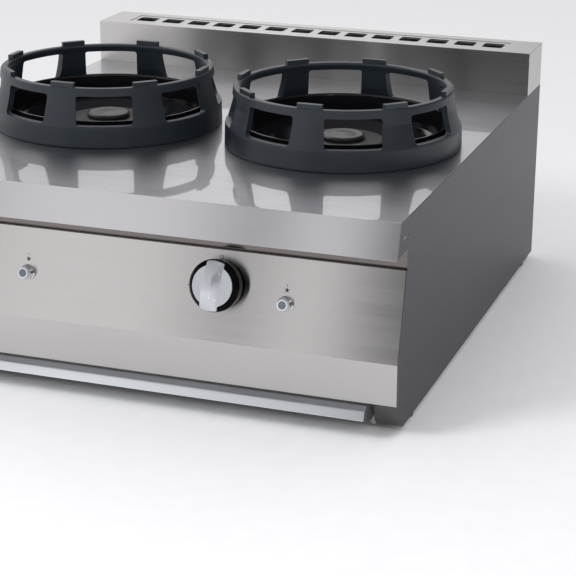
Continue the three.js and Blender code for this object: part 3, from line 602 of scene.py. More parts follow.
def round_edges(piece, radius, segments=3, is_fold=None, least_angle=24):
    """Rounds the sharp edges, marks the roundings with the edge attribute and keeps flat faces flat."""
    mesh = piece.data
    weights = mesh.attributes.new("bevel_weight_edge", "FLOAT", "EDGE")
    work = bmesh.new()
    work.from_mesh(mesh)
    for index, edge in enumerate(work.edges):
        sharp = len(edge.link_faces) == 2 and edge.calc_face_angle(0) > math.radians(least_angle)
        fold = is_fold is not None and is_fold(edge)
        share = 1.0 if is_fold is None else CUT_EDGE_SHARE
        weights.data[index].value = 1.0 if fold else share * sharp
    work.free()
    base_slots = len(mesh.materials)
    mesh.materials.append(mesh.materials[0])
    bevel = piece.modifiers.new("round edges", "BEVEL")
    bevel.limit_method = "WEIGHT"
    bevel.width = radius
    bevel.segments = segments
    bevel.material = base_slots
    mesh = settle(piece)
    edge_share = mesh.attributes.new("edge", "FLOAT", "FACE")
    for face in mesh.polygons:
        rounding = face.material_index == base_slots
        edge_share.data[face.index].value = 1.0 if rounding else 0.0
        face.material_index = 0 if rounding else face.material_index
    mesh.materials.pop(index=base_slots)
    return smooth_shading(piece)


def smooth_shading(piece):
    piece.data.shade_smooth()
    piece.data.set_sharp_from_angle(angle=SMOOTH_ANGLE)
    weighted = piece.modifiers.new("flat faces stay flat", "WEIGHTED_NORMAL")
    weighted.keep_sharp = True
    weighted.weight = NORMAL_WEIGHT
    settle(piece)
    return piece


def finished_sheet(node, name, material, body, slot, radius=0.5, is_fold=None, segments=3):
    piece = link_piece(name, merged_copy(node), material)
    round_edges(piece, radius * MM, segments, is_fold)
    return mount(piece, body, slot, node)


def runs_along_x(edge):
    run = edge.verts[1].co - edge.verts[0].co
    return abs(run.x) > FOLD_LENGTH and abs(run.x) > ALONG_X * run.length


def lies_on(edge, line):
    """True for an edge along x near a (y, z) line, so that both faces of a thin sheet count."""
    middle = (edge.verts[0].co + edge.verts[1].co) / 2
    return math.hypot(middle.y - line[0], middle.z - line[1]) < FOLD_REACH


print("normals stay smooth up to (degrees):", round(math.degrees(SMOOTH_ANGLE)))

# %% [markdown]
# ### Worktop
#
# The top is polished and the front edge is brushed, so one sheet carries three finishes, and the way each
# face looks decides which one it gets. A seat for a screw and a small blind hole are cut into both end tabs.

# %% Worktop
NOSE_TOP = (-435 * MM, 320 * MM)
NOSE_BOTTOM = (-450 * MM, 270 * MM)
NOSE_FOLD = 2.2  # radius in mm
FACING_LEAST = 0.85  # a face that looks up, or to a side, at least this much counts as top or end
HALF_WIDTH = 400
TAB_SCREW_AT = (-414.2, 292.5)  # (y, z) on each end tab of the front edge
TAB_HOLE_AT = (-397.6, 293)
TAB_RECESSES = [(TAB_SCREW_AT, 3.4, 1.1), (TAB_HOLE_AT, 1.7, 1.6)]  # place, radius and depth
CUTTER_EXTRA = 1  # how far a cutter stands out of the tab


def sink_recesses(piece):
    """Cuts the seat of a screw and a blind hole into both end tabs, with one cylinder for each."""
    work = bmesh.new()
    for sign in (-1, 1):
        for (y, z), radius, depth in TAB_RECESSES:
            middle = sign * (HALF_WIDTH - depth / 2 + CUTTER_EXTRA / 2)
            place = Matrix.Translation(Vector((middle, y, z)) * MM)
            bmesh.ops.create_cone(
                work, cap_ends=True, segments=24, radius1=radius * MM, radius2=radius * MM,
                depth=(depth + CUTTER_EXTRA) * MM, matrix=place @ Matrix.Rotation(math.pi / 2, 4, "Y"))
    mesh = bpy.data.meshes.new("recesses")
    work.to_mesh(mesh)
    work.free()
    cutter = link_piece("recesses", mesh)
    boolean = piece.modifiers.new("sink", "BOOLEAN")
    boolean.object = cutter
    boolean.solver = "EXACT"
    settle(piece)
    bpy.data.objects.remove(cutter)


def finish_worktop():
    def is_fold(edge):
        return runs_along_x(edge) and (lies_on(edge, NOSE_TOP) or lies_on(edge, NOSE_BOTTOM))

    piece = link_piece("worktop_sheet", merged_copy("worktop"), nose_steel)
    sink_recesses(piece)
    round_edges(piece, NOSE_FOLD * MM, 4, is_fold)
    piece.data.materials.append(worktop_polish)
    # The end tabs take the dark side steel, a painted shade.
    piece.data.materials.append(painted_shade_side_steel)
    for face in piece.data.polygons:
        if face.normal.z > FACING_LEAST:
            face.material_index = 1
        elif abs(face.normal.x) > FACING_LEAST:
            face.material_index = 2
    return mount(piece, "casing", "polished_steel", "worktop")


worktop = finish_worktop()
print("worktop faces:", len(worktop.data.polygons))

# %% [markdown]
# ### The other sheets of the casing
#
# The control panel has its folds along x too. The rest are plain sheets: each gets a small radius on every
# edge, the finish for its facing, and the casing as the body that it moves with.

# %% Control panel, side panels and the other sheets of the casing
PANEL_TOP = (-398 * MM, 241 * MM)
PANEL_BEND = (-429 * MM, 113 * MM)
PANEL_BOTTOM = (-428 * MM, 51 * MM)
PANEL_FOLD = 2.0


def is_panel_fold(edge):
    return runs_along_x(edge) and any(lies_on(edge, line) for line in (PANEL_TOP, PANEL_BEND, PANEL_BOTTOM))


control_panel = finished_sheet(
    "control_panel", "control_panel_sheet", panel_steel, "casing", "brushed_steel",
    PANEL_FOLD, is_panel_fold, 4)
finished_sheet("front_rail", "front_rail_channel", painted_shade_rail_steel, "casing", "plain_steel")
finished_sheet("back_panel", "back_panel_sheet", back_steel, "casing", "brushed_steel", 0.3)
for side in SIDES:
    finished_sheet(f"side_panel_{side}", f"side_sheet_{side}", painted_shade_side_steel, "casing", "brushed_steel", 0.45)
    finished_sheet(f"front_skirt_{side}", f"corner_skirt_{side}", painted_shade_skirt_steel, "casing", "brushed_steel", 0.4)
finished_sheet("base_frame", "base_rails", mill_steel, "casing", "plain_steel", 0.8)
for end in ("front", "rear"):
    finished_sheet(f"burner_rail_{end}", f"burner_crossbar_{end}", mill_steel, "casing", "plain_steel", 0.45)
print("control panel faces:", len(control_panel.data.polygons))

# %% [markdown]
# ## Turned pieces
#
# Bowls, knobs, burner heads and feet are round. The Spin tool or a Screw modifier could turn a profile, but
# a short function that writes the rings of points itself leaves closed poles and an even mesh. A profile is
# a list of (radius, height) points; soften() first rounds its corners, so that every edge catches light.

# %% Softening a profile
ON_AXIS = 1e-6  # a point nearer to the axis than this, in mm, lies on it
CORNER_SHARE = 0.45  # a rounding takes at most this share of the sides next to it


def soften(points, radius, steps):
    """Rounds the corners of a closed profile. Corners on the axis stay as they are."""
    made = []
    for index, point in enumerate(points):
        here = Vector(point)
        if here.x < ON_AXIS:
            made.append(here)
            continue
        first = Vector(points[index - 1]) - here
        last = Vector(points[(index + 1) % len(points)]) - here
        reach = min(radius, first.length * CORNER_SHARE, last.length * CORNER_SHARE)
        start = here + first.normalized() * reach
        end = here + last.normalized() * reach
        for step in range(steps + 1):
            share = step / steps
            made.append(start.lerp(here, share).lerp(here.lerp(end, share), share))
    return made


print("points of a softened square:", len(soften([(1, 0), (2, 0), (2, 1), (1, 1)], 0.1, 3)))

# %% [markdown]
# ### From profile to mesh
#
# Each point of the profile becomes a ring of points, or a single pole on the axis, and neighbouring rings are
# joined by faces. The function returns a mesh, so a piece can be placed by a matrix before it is linked.

# %% Turning a profile


def turned_mesh(name, points, steps, place):
    """Turns a closed profile, in mm, about the local Z axis."""
    work = bmesh.new()
    rings = []
    for point in points:
        radius, height = point[0] * MM, point[1] * MM
        if radius < ON_AXIS * MM:
            rings.append([work.verts.new((0, 0, height))])
            continue
        turns = (2 * math.pi * step / steps for step in range(steps))
        rings.append([work.verts.new((radius * math.cos(a), radius * math.sin(a), height)) for a in turns])
    for index, ring in enumerate(rings):
        after = rings[(index + 1) % len(rings)]
        if len(ring) == 1 and len(after) == 1:
            continue
        for step in range(steps):
            corners = [ring[step % len(ring)], ring[(step + 1) % len(ring)],
                       after[(step + 1) % len(after)], after[step % len(after)]]
            unique = list(dict.fromkeys(corners))
            if len(unique) > 2:
                work.faces.new(unique)
    bmesh.ops.recalc_face_normals(work, faces=work.faces)
    work.transform(place)
    mesh = bpy.data.meshes.new(name)
    work.to_mesh(mesh)
    work.free()
    return mesh


def turned_piece(name, points, steps, place, material):
    piece = link_piece(name, turned_mesh(name, points, steps, place), material)
    return smooth_shading(piece)


def middle_of(node):
    low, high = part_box(node)
    return (low + high) / 2


WORKTOP_Z = 320 * MM
burner_at = {side: Vector((middle_of(f"wok_ring_{side}").x, middle_of(f"wok_ring_{side}").y, WORKTOP_Z))
             for side in SIDES}
print("burners at (m):", {side: [round(v, 3) for v in place] for side, place in burner_at.items()})

# %% [markdown]
# ## Growing shapes with Geometry Nodes
#
# Some pieces follow a rule: a wall turned about an axis, with the same opening eight times round it. Such a
# shape is grown by a node tree whose inputs are the sizes. These two helpers make a tree with named inputs,
# and run it on an object and keep the result as a plain mesh, because instances would be lost later.

# %% Helpers for growing
WELD = 0.00001  # points closer than this, in metres, are welded
SOCKET_KINDS = {float: "NodeSocketFloat", int: "NodeSocketInt", Vector: "NodeSocketVector"}


def growing_tree(name, sizes):
    tree = bpy.data.node_groups.new(name, "GeometryNodeTree")
    tree.interface.new_socket("Geometry", in_out="OUTPUT", socket_type="NodeSocketGeometry")
    tree.interface.new_socket("Start", in_out="INPUT", socket_type="NodeSocketGeometry")
    for label, value in sizes.items():
        socket = tree.interface.new_socket(label, in_out="INPUT", socket_type=SOCKET_KINDS[type(value)])
        socket.default_value = value
    tree.interface.new_socket("Finish", in_out="INPUT", socket_type="NodeSocketMaterial")
    given = add_node(tree, "NodeGroupInput").outputs
    return tree, given


def grow(name, tree, start_mesh, sizes, material):
    """Runs the tree on a mesh and returns a plain piece."""
    piece = bpy.data.objects.new(name, start_mesh)
    bpy.context.scene.collection.objects.link(piece)
    modifier = piece.modifiers.new("grow", "NODES")
    modifier.node_group = tree
    identifiers = {item.name: item.identifier for item in tree.interface.items_tree
                   if item.item_type == "SOCKET" and item.in_out == "INPUT"}
    for label, value in sizes.items():
        modifier[identifiers[label]] = value
    modifier[identifiers["Finish"]] = material
    settle(piece)
    return piece


def finish_tree(tree, given, geometry):
    """Ends a tree: instances become real, the finish is set, and the result goes out."""
    real = add_node(tree, "GeometryNodeRealizeInstances", {"Geometry": geometry}).outputs[0]
    dressed = add_node(tree, "GeometryNodeSetMaterial", {"Geometry": real, "Material": given["Finish"]})
    add_node(tree, "NodeGroupOutput", {"Geometry": dressed.outputs[0]})
    return tree


def prism_of(tree, curve, depth):
    """A closed prism from a flat closed curve: filled, drawn out along Z, and shut at the start."""
    flat = add_node(tree, "GeometryNodeFillCurve", {"Curve": curve}, mode="NGONS").outputs[0]
    raised = add_node(tree, "GeometryNodeExtrudeMesh", {
        "Mesh": flat, "Offset Scale": depth, "Individual": False}, mode="FACES")
    floor = add_node(tree, "GeometryNodeFlipFaces", {"Mesh": flat}).outputs[0]
    both = add_node(tree, "GeometryNodeJoinGeometry")
    tree.links.new(floor, both.inputs[0])
    tree.links.new(raised.outputs["Mesh"], both.inputs[0])
    return weld(tree, both.outputs[0])


def weld(tree, geometry):
    return add_node(tree, "GeometryNodeMergeByDistance", {"Geometry": geometry, "Distance": WELD}).outputs[0]


print("socket kinds:", len(SOCKET_KINDS))

# %% [markdown]
# ## Cast wok rings
#
# A wok ring is a tall cast band with eight windows for air, uprights between them and a pad on each upright
# for the wok. It could be cut by hand, window by window. Here one tree does it: a grid of points is wrapped
# round the axis along the ring's profile, a rounded window prism is set out eight times and cut away, and
# the pads are joined on. The burner heads reuse the same tree with other numbers, for their flame ports.

# %% A grid wrapped round the axis


def grow_turned_grid(tree, given):
    """Wraps a grid round the axis: one column a step of the turn, one row a point of the profile."""
    counted = add_node(tree, "GeometryNodeAttributeDomainSize", {"Geometry": given["Start"]})
    rows = counted.outputs["Point Count"]
    columns = calculate(tree, "ADD", given["Steps"], 1)
    grid = add_node(tree, "GeometryNodeMeshGrid", {
        "Size X": 1.0, "Size Y": 1.0, "Vertices X": columns, "Vertices Y": calculate(tree, "ADD", rows, 1)})
    place = add_node(tree, "ShaderNodeSeparateXYZ", {
        "Vector": add_node(tree, "GeometryNodeInputPosition").outputs[0]}).outputs
    around = calculate(tree, "ADD", place["X"], 0.5)
    along = calculate(tree, "MULTIPLY", calculate(tree, "ADD", place["Y"], 0.5), rows)
    row = calculate(tree, "MODULO", calculate(tree, "ROUND", along), rows)
    start_place = add_node(tree, "GeometryNodeInputPosition").outputs[0]
    sample = add_node(tree, "GeometryNodeSampleIndex", {"Geometry": given["Start"]}, data_type="FLOAT_VECTOR")
    tree.links.new(start_place, sample.inputs["Value"])
    tree.links.new(row, sample.inputs["Index"])
    point = add_node(tree, "ShaderNodeSeparateXYZ", {"Vector": sample.outputs[0]}).outputs
    angle = calculate(tree, "MULTIPLY", around, 2 * math.pi)
    x = calculate(tree, "MULTIPLY", point["X"], calculate(tree, "COSINE", angle))
    y = calculate(tree, "MULTIPLY", point["X"], calculate(tree, "SINE", angle))
    wrapped = add_node(tree, "ShaderNodeCombineXYZ", {"X": x, "Y": y, "Z": point["Z"]}).outputs[0]
    placed = add_node(tree, "GeometryNodeSetPosition", {
        "Geometry": grid.outputs["Mesh"], "Position": wrapped})
    return weld(tree, placed.outputs[0])


# %% [markdown]
# ### Openings set out round the axis
#
# A cutter for one opening is a rounded prism. A circle of points carries one copy of it for each opening.

# %% Openings and pads


def set_out_around(tree, shape, count, radius, first_angle, height):
    """Copies of a shape on a circle, each turned so that its X axis points outwards."""
    circle = add_node(tree, "GeometryNodeMeshCircle", {"Vertices": count, "Radius": radius}).outputs[0]
    spin = add_node(tree, "ShaderNodeCombineXYZ", {"Z": first_angle}).outputs[0]
    lift = add_node(tree, "ShaderNodeCombineXYZ", {"Z": height}).outputs[0]
    points = add_node(tree, "GeometryNodeTransform", {
        "Geometry": circle, "Rotation": spin, "Translation": lift}).outputs[0]
    outwards = add_node(tree, "ShaderNodeVectorMath", {
        0: add_node(tree, "GeometryNodeInputPosition").outputs[0], 1: (1, 1, 0)},
        operation="MULTIPLY").outputs[0]
    facing = add_node(
        tree, "FunctionNodeAlignRotationToVector", {"Vector": outwards}, axis="X", pivot_axis="Z")
    copies = add_node(tree, "GeometryNodeInstanceOnPoints", {
        "Points": points, "Instance": shape, "Rotation": facing.outputs[0]}).outputs[0]
    return add_node(tree, "GeometryNodeRealizeInstances", {"Geometry": copies}).outputs[0]


def rounded_window(tree, given):
    """A rounded prism that lies along X, as wide and tall as an opening."""
    outline = add_node(tree, "GeometryNodeCurvePrimitiveQuadrilateral", {
        "Width": given["Opening height"], "Height": given["Opening width"]}, mode="RECTANGLE").outputs[0]
    corners = add_node(tree, "GeometryNodeFilletCurve", {
        "Curve": outline, "Radius": given["Corner radius"], "Count": 5}, mode="POLY")
    prism = prism_of(tree, corners.outputs[0], given["Cut depth"])
    centred = add_node(tree, "GeometryNodeTransform", {
        "Geometry": prism,
        "Translation": add_node(tree, "ShaderNodeCombineXYZ", {
            "Z": calculate(tree, "MULTIPLY", given["Cut depth"], -0.5)}).outputs[0]}).outputs[0]
    return add_node(tree, "GeometryNodeTransform", {
        "Geometry": centred, "Rotation": (0, math.pi / 2, 0)}).outputs[0]


# %% [markdown]
# ### The whole tree
#
# The wrapped body, less its openings, plus its pads where there are any. The sizes below are the defaults.

# %% A tree for turned bodies with openings round them
TURNED_SIZES = {
    "Steps": 128, "Openings": 8, "Opening width": 0.086, "Opening height": 0.044, "Corner radius": 0.004,
    "Opening radius": 0.175, "Opening middle": 0.056, "First opening": 0.39, "Cut depth": 0.05,
    "Pads": 0, "Pad size": Vector((0.006, 0.04, 0.008)), "Pad radius": 0.163, "Pad middle": 0.093,
}


def turned_with_openings():
    tree, given = growing_tree("turned_with_openings", TURNED_SIZES)
    body = grow_turned_grid(tree, given)
    window = rounded_window(tree, given)
    cutters = set_out_around(
        tree, window, given["Openings"], given["Opening radius"], given["First opening"],
        given["Opening middle"])
    cut = add_node(tree, "GeometryNodeMeshBoolean", operation="DIFFERENCE", solver="MANIFOLD")
    tree.links.new(body, cut.inputs["Mesh 1"])
    tree.links.new(cutters, cut.inputs["Mesh 2"])
    pad = add_node(tree, "GeometryNodeMeshCube", {"Size": given["Pad size"]}).outputs[0]
    pads = set_out_around(tree, pad, given["Pads"], given["Pad radius"], 0.0, given["Pad middle"])
    joined = add_node(tree, "GeometryNodeMeshBoolean", operation="UNION", solver="MANIFOLD")
    tree.links.new(cut.outputs["Mesh"], joined.inputs["Mesh 2"])
    tree.links.new(pads, joined.inputs["Mesh 2"])
    padded = add_node(tree, "GeometryNodeSwitch", {
        "Switch": add_node(tree, "FunctionNodeCompare", {2: given["Pads"], 3: 0},
                           data_type="INT", operation="GREATER_THAN").outputs[0],
        "False": cut.outputs["Mesh"], "True": joined.outputs["Mesh"]}, input_type="GEOMETRY").outputs[0]
    return finish_tree(tree, given, padded)


turned_tree = turned_with_openings()
print("nodes in the tree for turned bodies:", len(turned_tree.nodes))

# %% [markdown]
# ### The two rings
#
# The profile is the section of the casting, and the sizes place its eight windows and eight pads.

# %% Wok rings
RING_PROFILE = [
    (182.6, 0.3), (183, 3), (182.2, 31), (177.2, 48), (172.5, 66), (169, 88.5), (167.5, 90), (159, 90),
    (157, 87), (160, 78), (166, 48), (172, 34), (172, 0.3),
]
RING_SIZES = {
    "Steps": 128, "Openings": 8, "Opening width": 86 * MM, "Opening height": 44 * MM,
    "Corner radius": 4.5 * MM, "Opening radius": 172 * MM, "Opening middle": 56 * MM,
    "First opening": math.radians(22.5),
    "Cut depth": 60 * MM, "Pads": 8, "Pad size": Vector((8, 38, 10)) * MM, "Pad radius": 162.6 * MM,
    "Pad middle": 92 * MM,
}


def profile_line(name, points):
    mesh = bpy.data.meshes.new(name)
    mesh.from_pydata([(p[0] * MM, 0, p[1] * MM) for p in points], [], [])
    return mesh


def cast_ring(side):
    outline = profile_line("ring outline", soften(RING_PROFILE, 1.6, 2))
    piece = grow(f"cast_ring_{side}", turned_tree, outline, RING_SIZES, ring_iron)
    piece.data.transform(Matrix.Translation(burner_at[side]))
    round_edges(piece, 1.1 * MM, 2, least_angle=34)
    return mount(piece, f"ring_{side}", "cast_iron", f"wok_ring_{side}")


for side in SIDES:
    ring = cast_ring(side)
    ring_top = max(v.co.z for v in ring.data.vertices) / MM
    print(ring.name, "faces:", len(ring.data.polygons), "top (mm):", round(ring_top, 1))

# %% [markdown]
# ## Spill bowls
#
# Inside each ring sits a bowl of enamelled sheet: a sloping floor round the burner, a flange on the worktop
# and a raised collar with a rolled lip, which shows in the windows as a thin bright crescent.
# It is one turned sheet, so its profile is a line given a thickness: down the inside and back up the outside.

# %% Bowls
BOWL_LINE = [
    (84, -29), (88, -34), (102, -34), (151, 0.3), (163, 0.3), (163, 35), (164, 37.2), (166, 37.4),
]
BOWL_SHEET = 1.6
BOWL_STEPS = 128


def sheet_profile(line, thickness):
    """A closed profile: the line, and the line moved inwards and upwards by the sheet's thickness."""
    moved = []
    for index, point in enumerate(line):
        before = Vector(line[max(index - 1, 0)])
        after = Vector(line[min(index + 1, len(line) - 1)])
        here = Vector(point)
        first = (here - before).normalized() if index > 0 else (after - here).normalized()
        last = (after - here).normalized() if index < len(line) - 1 else first
        normal = Vector((-first.y - last.y, first.x + last.x))
        moved.append(here + normal * (thickness / (1 + first.dot(last))))
    return [Vector(p) for p in line] + moved[::-1]


for side in SIDES:
    outline = soften(sheet_profile(BOWL_LINE, BOWL_SHEET), 0.75, 3)
    bowl_place = Matrix.Translation(burner_at[side])
    bowl = turned_piece(f"enamel_bowl_{side}", outline, BOWL_STEPS, bowl_place, bowl_enamel)
    mount(bowl, f"bowl_{side}", "black_enamel", f"spill_bowl_{side}")
    print(bowl.name, "faces:", len(bowl.data.polygons))

# %% [markdown]
# ## Burners
#
# The head is a cast crown with flame ports round it, so the ring's tree grows it too: the ports are small
# openings near its top. The cap closes it, with a plug that centres it and a shallow dished top.

# %% Burner heads and caps
HEAD_BOTTOM = -29
HEAD_HEIGHT = 35
HEAD_PROFILE = [(26, 0.3), (54, 0.3), (58, 10), (68, 16), (68, 30), (62, 35), (26, 35)]
PORT_SIZES = {
    "Steps": 96, "Openings": 24, "Opening width": 5 * MM, "Opening height": 7 * MM,
    "Corner radius": 1.2 * MM, "Opening radius": 65 * MM, "Opening middle": 25.5 * MM,
    "First opening": 0.0, "Cut depth": 12 * MM, "Pads": 0,
}
CAP_PROFILE = [
    (0, -17.7), (23, -17.7), (25, -14), (25, 0.3), (34, 0.3), (34, 5.2), (31, 8), (24, 7.4), (20, 7.2),
    (8, 8.4), (0, 8.8),
]
CAP_STEPS = 72

for side in SIDES:
    seat = Matrix.Translation(burner_at[side] + Vector((0, 0, HEAD_BOTTOM * MM)))
    crown = profile_line("crown outline", soften(HEAD_PROFILE, 1.2, 2))
    head = grow(f"burner_crown_{side}", turned_tree, crown, PORT_SIZES, burner_iron)
    head.data.transform(seat)
    round_edges(head, 0.4 * MM, 1, least_angle=40)
    mount(head, f"head_{side}", "cast_iron", f"burner_head_{side}")
    cap_seat = seat @ Matrix.Translation((0, 0, HEAD_HEIGHT * MM))
    cap = turned_piece(f"burner_lid_{side}", soften(CAP_PROFILE, 0.9, 3), CAP_STEPS, cap_seat, cap_iron)
    mount(cap, f"cap_{side}", "cast_iron", f"burner_cap_{side}")
    print(head.name, "faces:", len(head.data.polygons), "and", cap.name, "faces:", len(cap.data.polygons))

# %% [markdown]
# ### Under the burner heads
#
# The castings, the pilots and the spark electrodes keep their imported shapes, with rounded edges.

# %% Burner bodies, pilots and electrodes
for side in SIDES:
    finished_sheet(f"burner_body_{side}", f"burner_casting_{side}", burner_iron, "casing", "cast_iron", 0.8)
    finished_sheet(f"pilot_burner_{side}", f"pilot_{side}", brass_turned, "casing", "brass", 0.3)
    electrode = finished_sheet(
        f"spark_electrode_{side}", f"electrode_{side}", electrode_ceramic, "casing", "white_ceramic", 0.3)
    print(electrode.name, "faces:", len(electrode.data.polygons))

# %% [markdown]
# ## Places on the leaning panel
#
# Knobs, buttons and prints belong to the control panel, which leans back. A matrix turns its flat drawing,
# with Z as the way out of the sheet, into the range's own frame. A place is given as on a drawing of the
# panel: across from the middle of the range, and down along the sheet from its top fold.

# %% Panel frame
CONTROL_PITCH = 400  # from the right burner's controls to the left one's, in mm
KNOB_PLACE = (130, 49.4)
IGNITER_PLACE = (230, 66)


def control_shift(side):
    return 0 if side == "right" else -CONTROL_PITCH


def on_panel(across, down, turn_degrees=0.0):
    run = Vector((0, PANEL_BEND[0] - PANEL_TOP[0], PANEL_BEND[1] - PANEL_TOP[1]))
    lean = math.atan2(-run.y, -run.z)
    place = Vector((across * MM, *PANEL_TOP)) + run.normalized() * down * MM
    tilt = Matrix.Rotation(math.pi / 2 - lean, 4, "X")
    return Matrix.Translation(place) @ tilt @ Matrix.Rotation(math.radians(turn_degrees), 4, "Z")


print("right knob at (m):", [round(v, 4) for v in on_panel(*KNOB_PLACE).translation])

# %% [markdown]
# ## Gas knobs
#
# The knob is a glossy black body, narrower at the panel than at its rim, with a silver face let into it. A
# raised grip crosses the face: flat on top, arched along its length, with one steep flank and one that
# slopes down to the face and carries the white pointer. A sculpted mesh would do, but the grip follows a
# rule: each cross-section is the same step, scaled by the arch. So it is lofted as a grid of sections.

# %% Sizes of the knob
KNOB_TURN = -5.5
KNOB_STEPS = 96
KNOB_BODY = [
    (12, 4.7), (36, 4.7), (37.0, 15), (37.6, 21.5), (37.3, 24), (32.6, 30.2), (30.4, 30.8), (30.2, 28.6),
    (4.3, 28.6), (4.3, 12), (12, 12),
]
FACE_HEIGHT = 31.2
FACE_PROFILE = [(0, 29), (29.9, 29), (30, 30.9), (29.5, 31.2), (0, 31.05)]
GRIP = {"left": -13.0, "right": 12.5, "crest": 0.2, "rise": 8.2, "reach": 34.0, "end": 35.9, "floor": 23.4}
GRIP_COLUMNS = 5  # on each side of the crest
GRIP_STEPS = 32
# Painted shade: a thin strip of black plastic along the grip's left foot stands in for the shade there.
FOOT_SHADE_LINE = {"across": -13.5, "half_length": 26.8, "half_width": 0.45, "proud": 0.06}  # dark line at the foot
POINTER = {"across": 8.0, "half_length": 19.0, "half_width": 0.75, "proud": 0.12}
LINE_ROOT = 0.6  # how deep these lines reach into the knob
LINE_END_STEPS = 6


def arch_height(y):
    radius = (GRIP["reach"] ** 2 + GRIP["rise"] ** 2) / (2 * GRIP["rise"])
    return FACE_HEIGHT + GRIP["rise"] - radius + math.sqrt(radius ** 2 - y ** 2)


def grip_height(x, y):
    """Height of the grip's top at a point of the face."""
    crest = arch_height(y)
    if x <= GRIP["crest"]:
        return crest
    share = (x - GRIP["crest"]) / (GRIP["right"] - GRIP["crest"])
    return crest + (min(FACE_HEIGHT, crest) - crest) * share


print("height of the grip's crest over the panel (mm):", round(arch_height(0), 1))

# %% [markdown]
# ### The grip
#
# The grid's columns stand at fixed places across the grip and end on a circle round the knob's axis.

# %% Grip


def grip_places(start, end):
    return [start + (end - start) * i / GRIP_COLUMNS for i in range(GRIP_COLUMNS + 1)]


def grip_mesh():
    across = grip_places(GRIP["left"], GRIP["crest"]) + grip_places(GRIP["crest"], GRIP["right"])[1:]
    steps = GRIP_STEPS
    work = bmesh.new()
    columns = []
    for x in across:
        half = math.sqrt(GRIP["end"] ** 2 - x ** 2)
        places = [half * (2 * step / steps - 1) for step in range(steps + 1)]
        tops = [work.verts.new((x, y, grip_height(x, y))) for y in places]
        floors = [work.verts.new((x, y, GRIP["floor"])) for y in places]
        columns.append((tops, floors))
    for (tops, floors), (next_tops, next_floors) in zip(columns, columns[1:]):
        for step in range(steps):
            work.faces.new((tops[step], next_tops[step], next_tops[step + 1], tops[step + 1]))
            work.faces.new((floors[step], floors[step + 1], next_floors[step + 1], next_floors[step]))
        for end in (0, -1):
            work.faces.new((tops[end], floors[end], next_floors[end], next_tops[end]))
    for tops, floors in (columns[0], columns[-1]):
        for step in range(steps):
            work.faces.new((tops[step], tops[step + 1], floors[step + 1], floors[step]))
    bmesh.ops.recalc_face_normals(work, faces=work.faces)
    bmesh.ops.dissolve_limit(work, angle_limit=math.radians(0.2), verts=work.verts, edges=work.edges)
    mesh = bpy.data.meshes.new("grip")
    work.to_mesh(mesh)
    work.free()
    return mesh


print("columns of the grip:", 2 * GRIP_COLUMNS + 1)

# %% [markdown]
# ### Its lines and the finished knob
#
# The white pointer lies on the sloping flank, and a thin black strip is painted shade where the grip leaves
# the face.
# Face, grip and pointer are one moulding, and with the shade strip they are joined into one piece that keeps
# all their finishes.

# %% Knob


def line_mesh(name, line, height_at):
    """A slim bar with round ends that lies on a surface of the knob."""
    work = bmesh.new()
    outline = []
    for end, start in ((1, 0), (-1, math.pi)):
        for step in range(LINE_END_STEPS + 1):
            angle = start + math.pi * step / LINE_END_STEPS
            outline.append((line["across"] + line["half_width"] * math.cos(angle),
                            end * line["half_length"] + line["half_width"] * math.sin(angle)))
    tops = [work.verts.new((x, y, height_at(x, y) + line["proud"])) for x, y in outline]
    roots = [work.verts.new((x, y, height_at(x, y) - LINE_ROOT)) for x, y in outline]
    work.faces.new(tops)
    work.faces.new(roots[::-1])
    for index in range(len(outline)):
        after = (index + 1) % len(outline)
        work.faces.new((tops[index], roots[index], roots[after], tops[after]))
    bmesh.ops.recalc_face_normals(work, faces=work.faces)
    mesh = bpy.data.meshes.new(name)
    work.to_mesh(mesh)
    work.free()
    return mesh


def join_pieces(name, pieces):
    """Joins pieces into one mesh with all their finishes."""
    work = bmesh.new()
    materials = []
    for piece in pieces:
        first_face = len(work.faces)
        work.from_mesh(piece.data)
        work.faces.ensure_lookup_table()
        for face in work.faces[first_face:]:
            face.material_index += len(materials)
        materials += list(piece.data.materials)
    joined = link_piece(name, bpy.data.meshes.new(name), *materials)
    work.to_mesh(joined.data)
    work.free()
    for piece in pieces:
        bpy.data.objects.remove(piece)
    return joined


def make_knob(side):
    place = on_panel(KNOB_PLACE[0] + control_shift(side), KNOB_PLACE[1], KNOB_TURN)
    body = turned_piece(f"knob_skirt_{side}", soften(KNOB_BODY, 1.1, 3), KNOB_STEPS, place, knob_black)
    mount(body, f"knob_{side}", "knob_black", f"knob_body_{side}")
    at_origin = Matrix.Identity(4)
    face = turned_piece("face disc", soften(FACE_PROFILE, 0.25, 2), KNOB_STEPS, at_origin, knob_silver)
    grip = link_piece("grip", grip_mesh(), knob_silver)
    grip.data.transform(Matrix.Scale(MM, 4))
    round_edges(grip, 0.55 * MM, 3, least_angle=26)
    pointer = link_piece("pointer", line_mesh("pointer", POINTER, grip_height), pointer_white)
    pointer.data.transform(Matrix.Scale(MM, 4))
    # Painted shade at the grip's left foot, in the black of the knob.
    foot_shade_line = link_piece("foot_shade_line", line_mesh("foot_shade_line", FOOT_SHADE_LINE, lambda x, y: FACE_HEIGHT), knob_black)
    foot_shade_line.data.transform(Matrix.Scale(MM, 4))
    silver = join_pieces(f"knob_grip_{side}", [face, grip, pointer, foot_shade_line])
    silver.data.transform(place)
    smooth_shading(silver)
    mount(silver, f"knob_{side}", "knob_silver", f"knob_face_{side}")
    return silver


for side in SIDES:
    print("knob faces:", len(make_knob(side).data.polygons))

# %% [markdown]
# ## Igniters
#
# The igniter is a push button in a short chrome ring that is screwed to the panel: a pale round button with
# a sunk blue-grey disc, whose face has a few fine circles from moulding. All of it is turned.

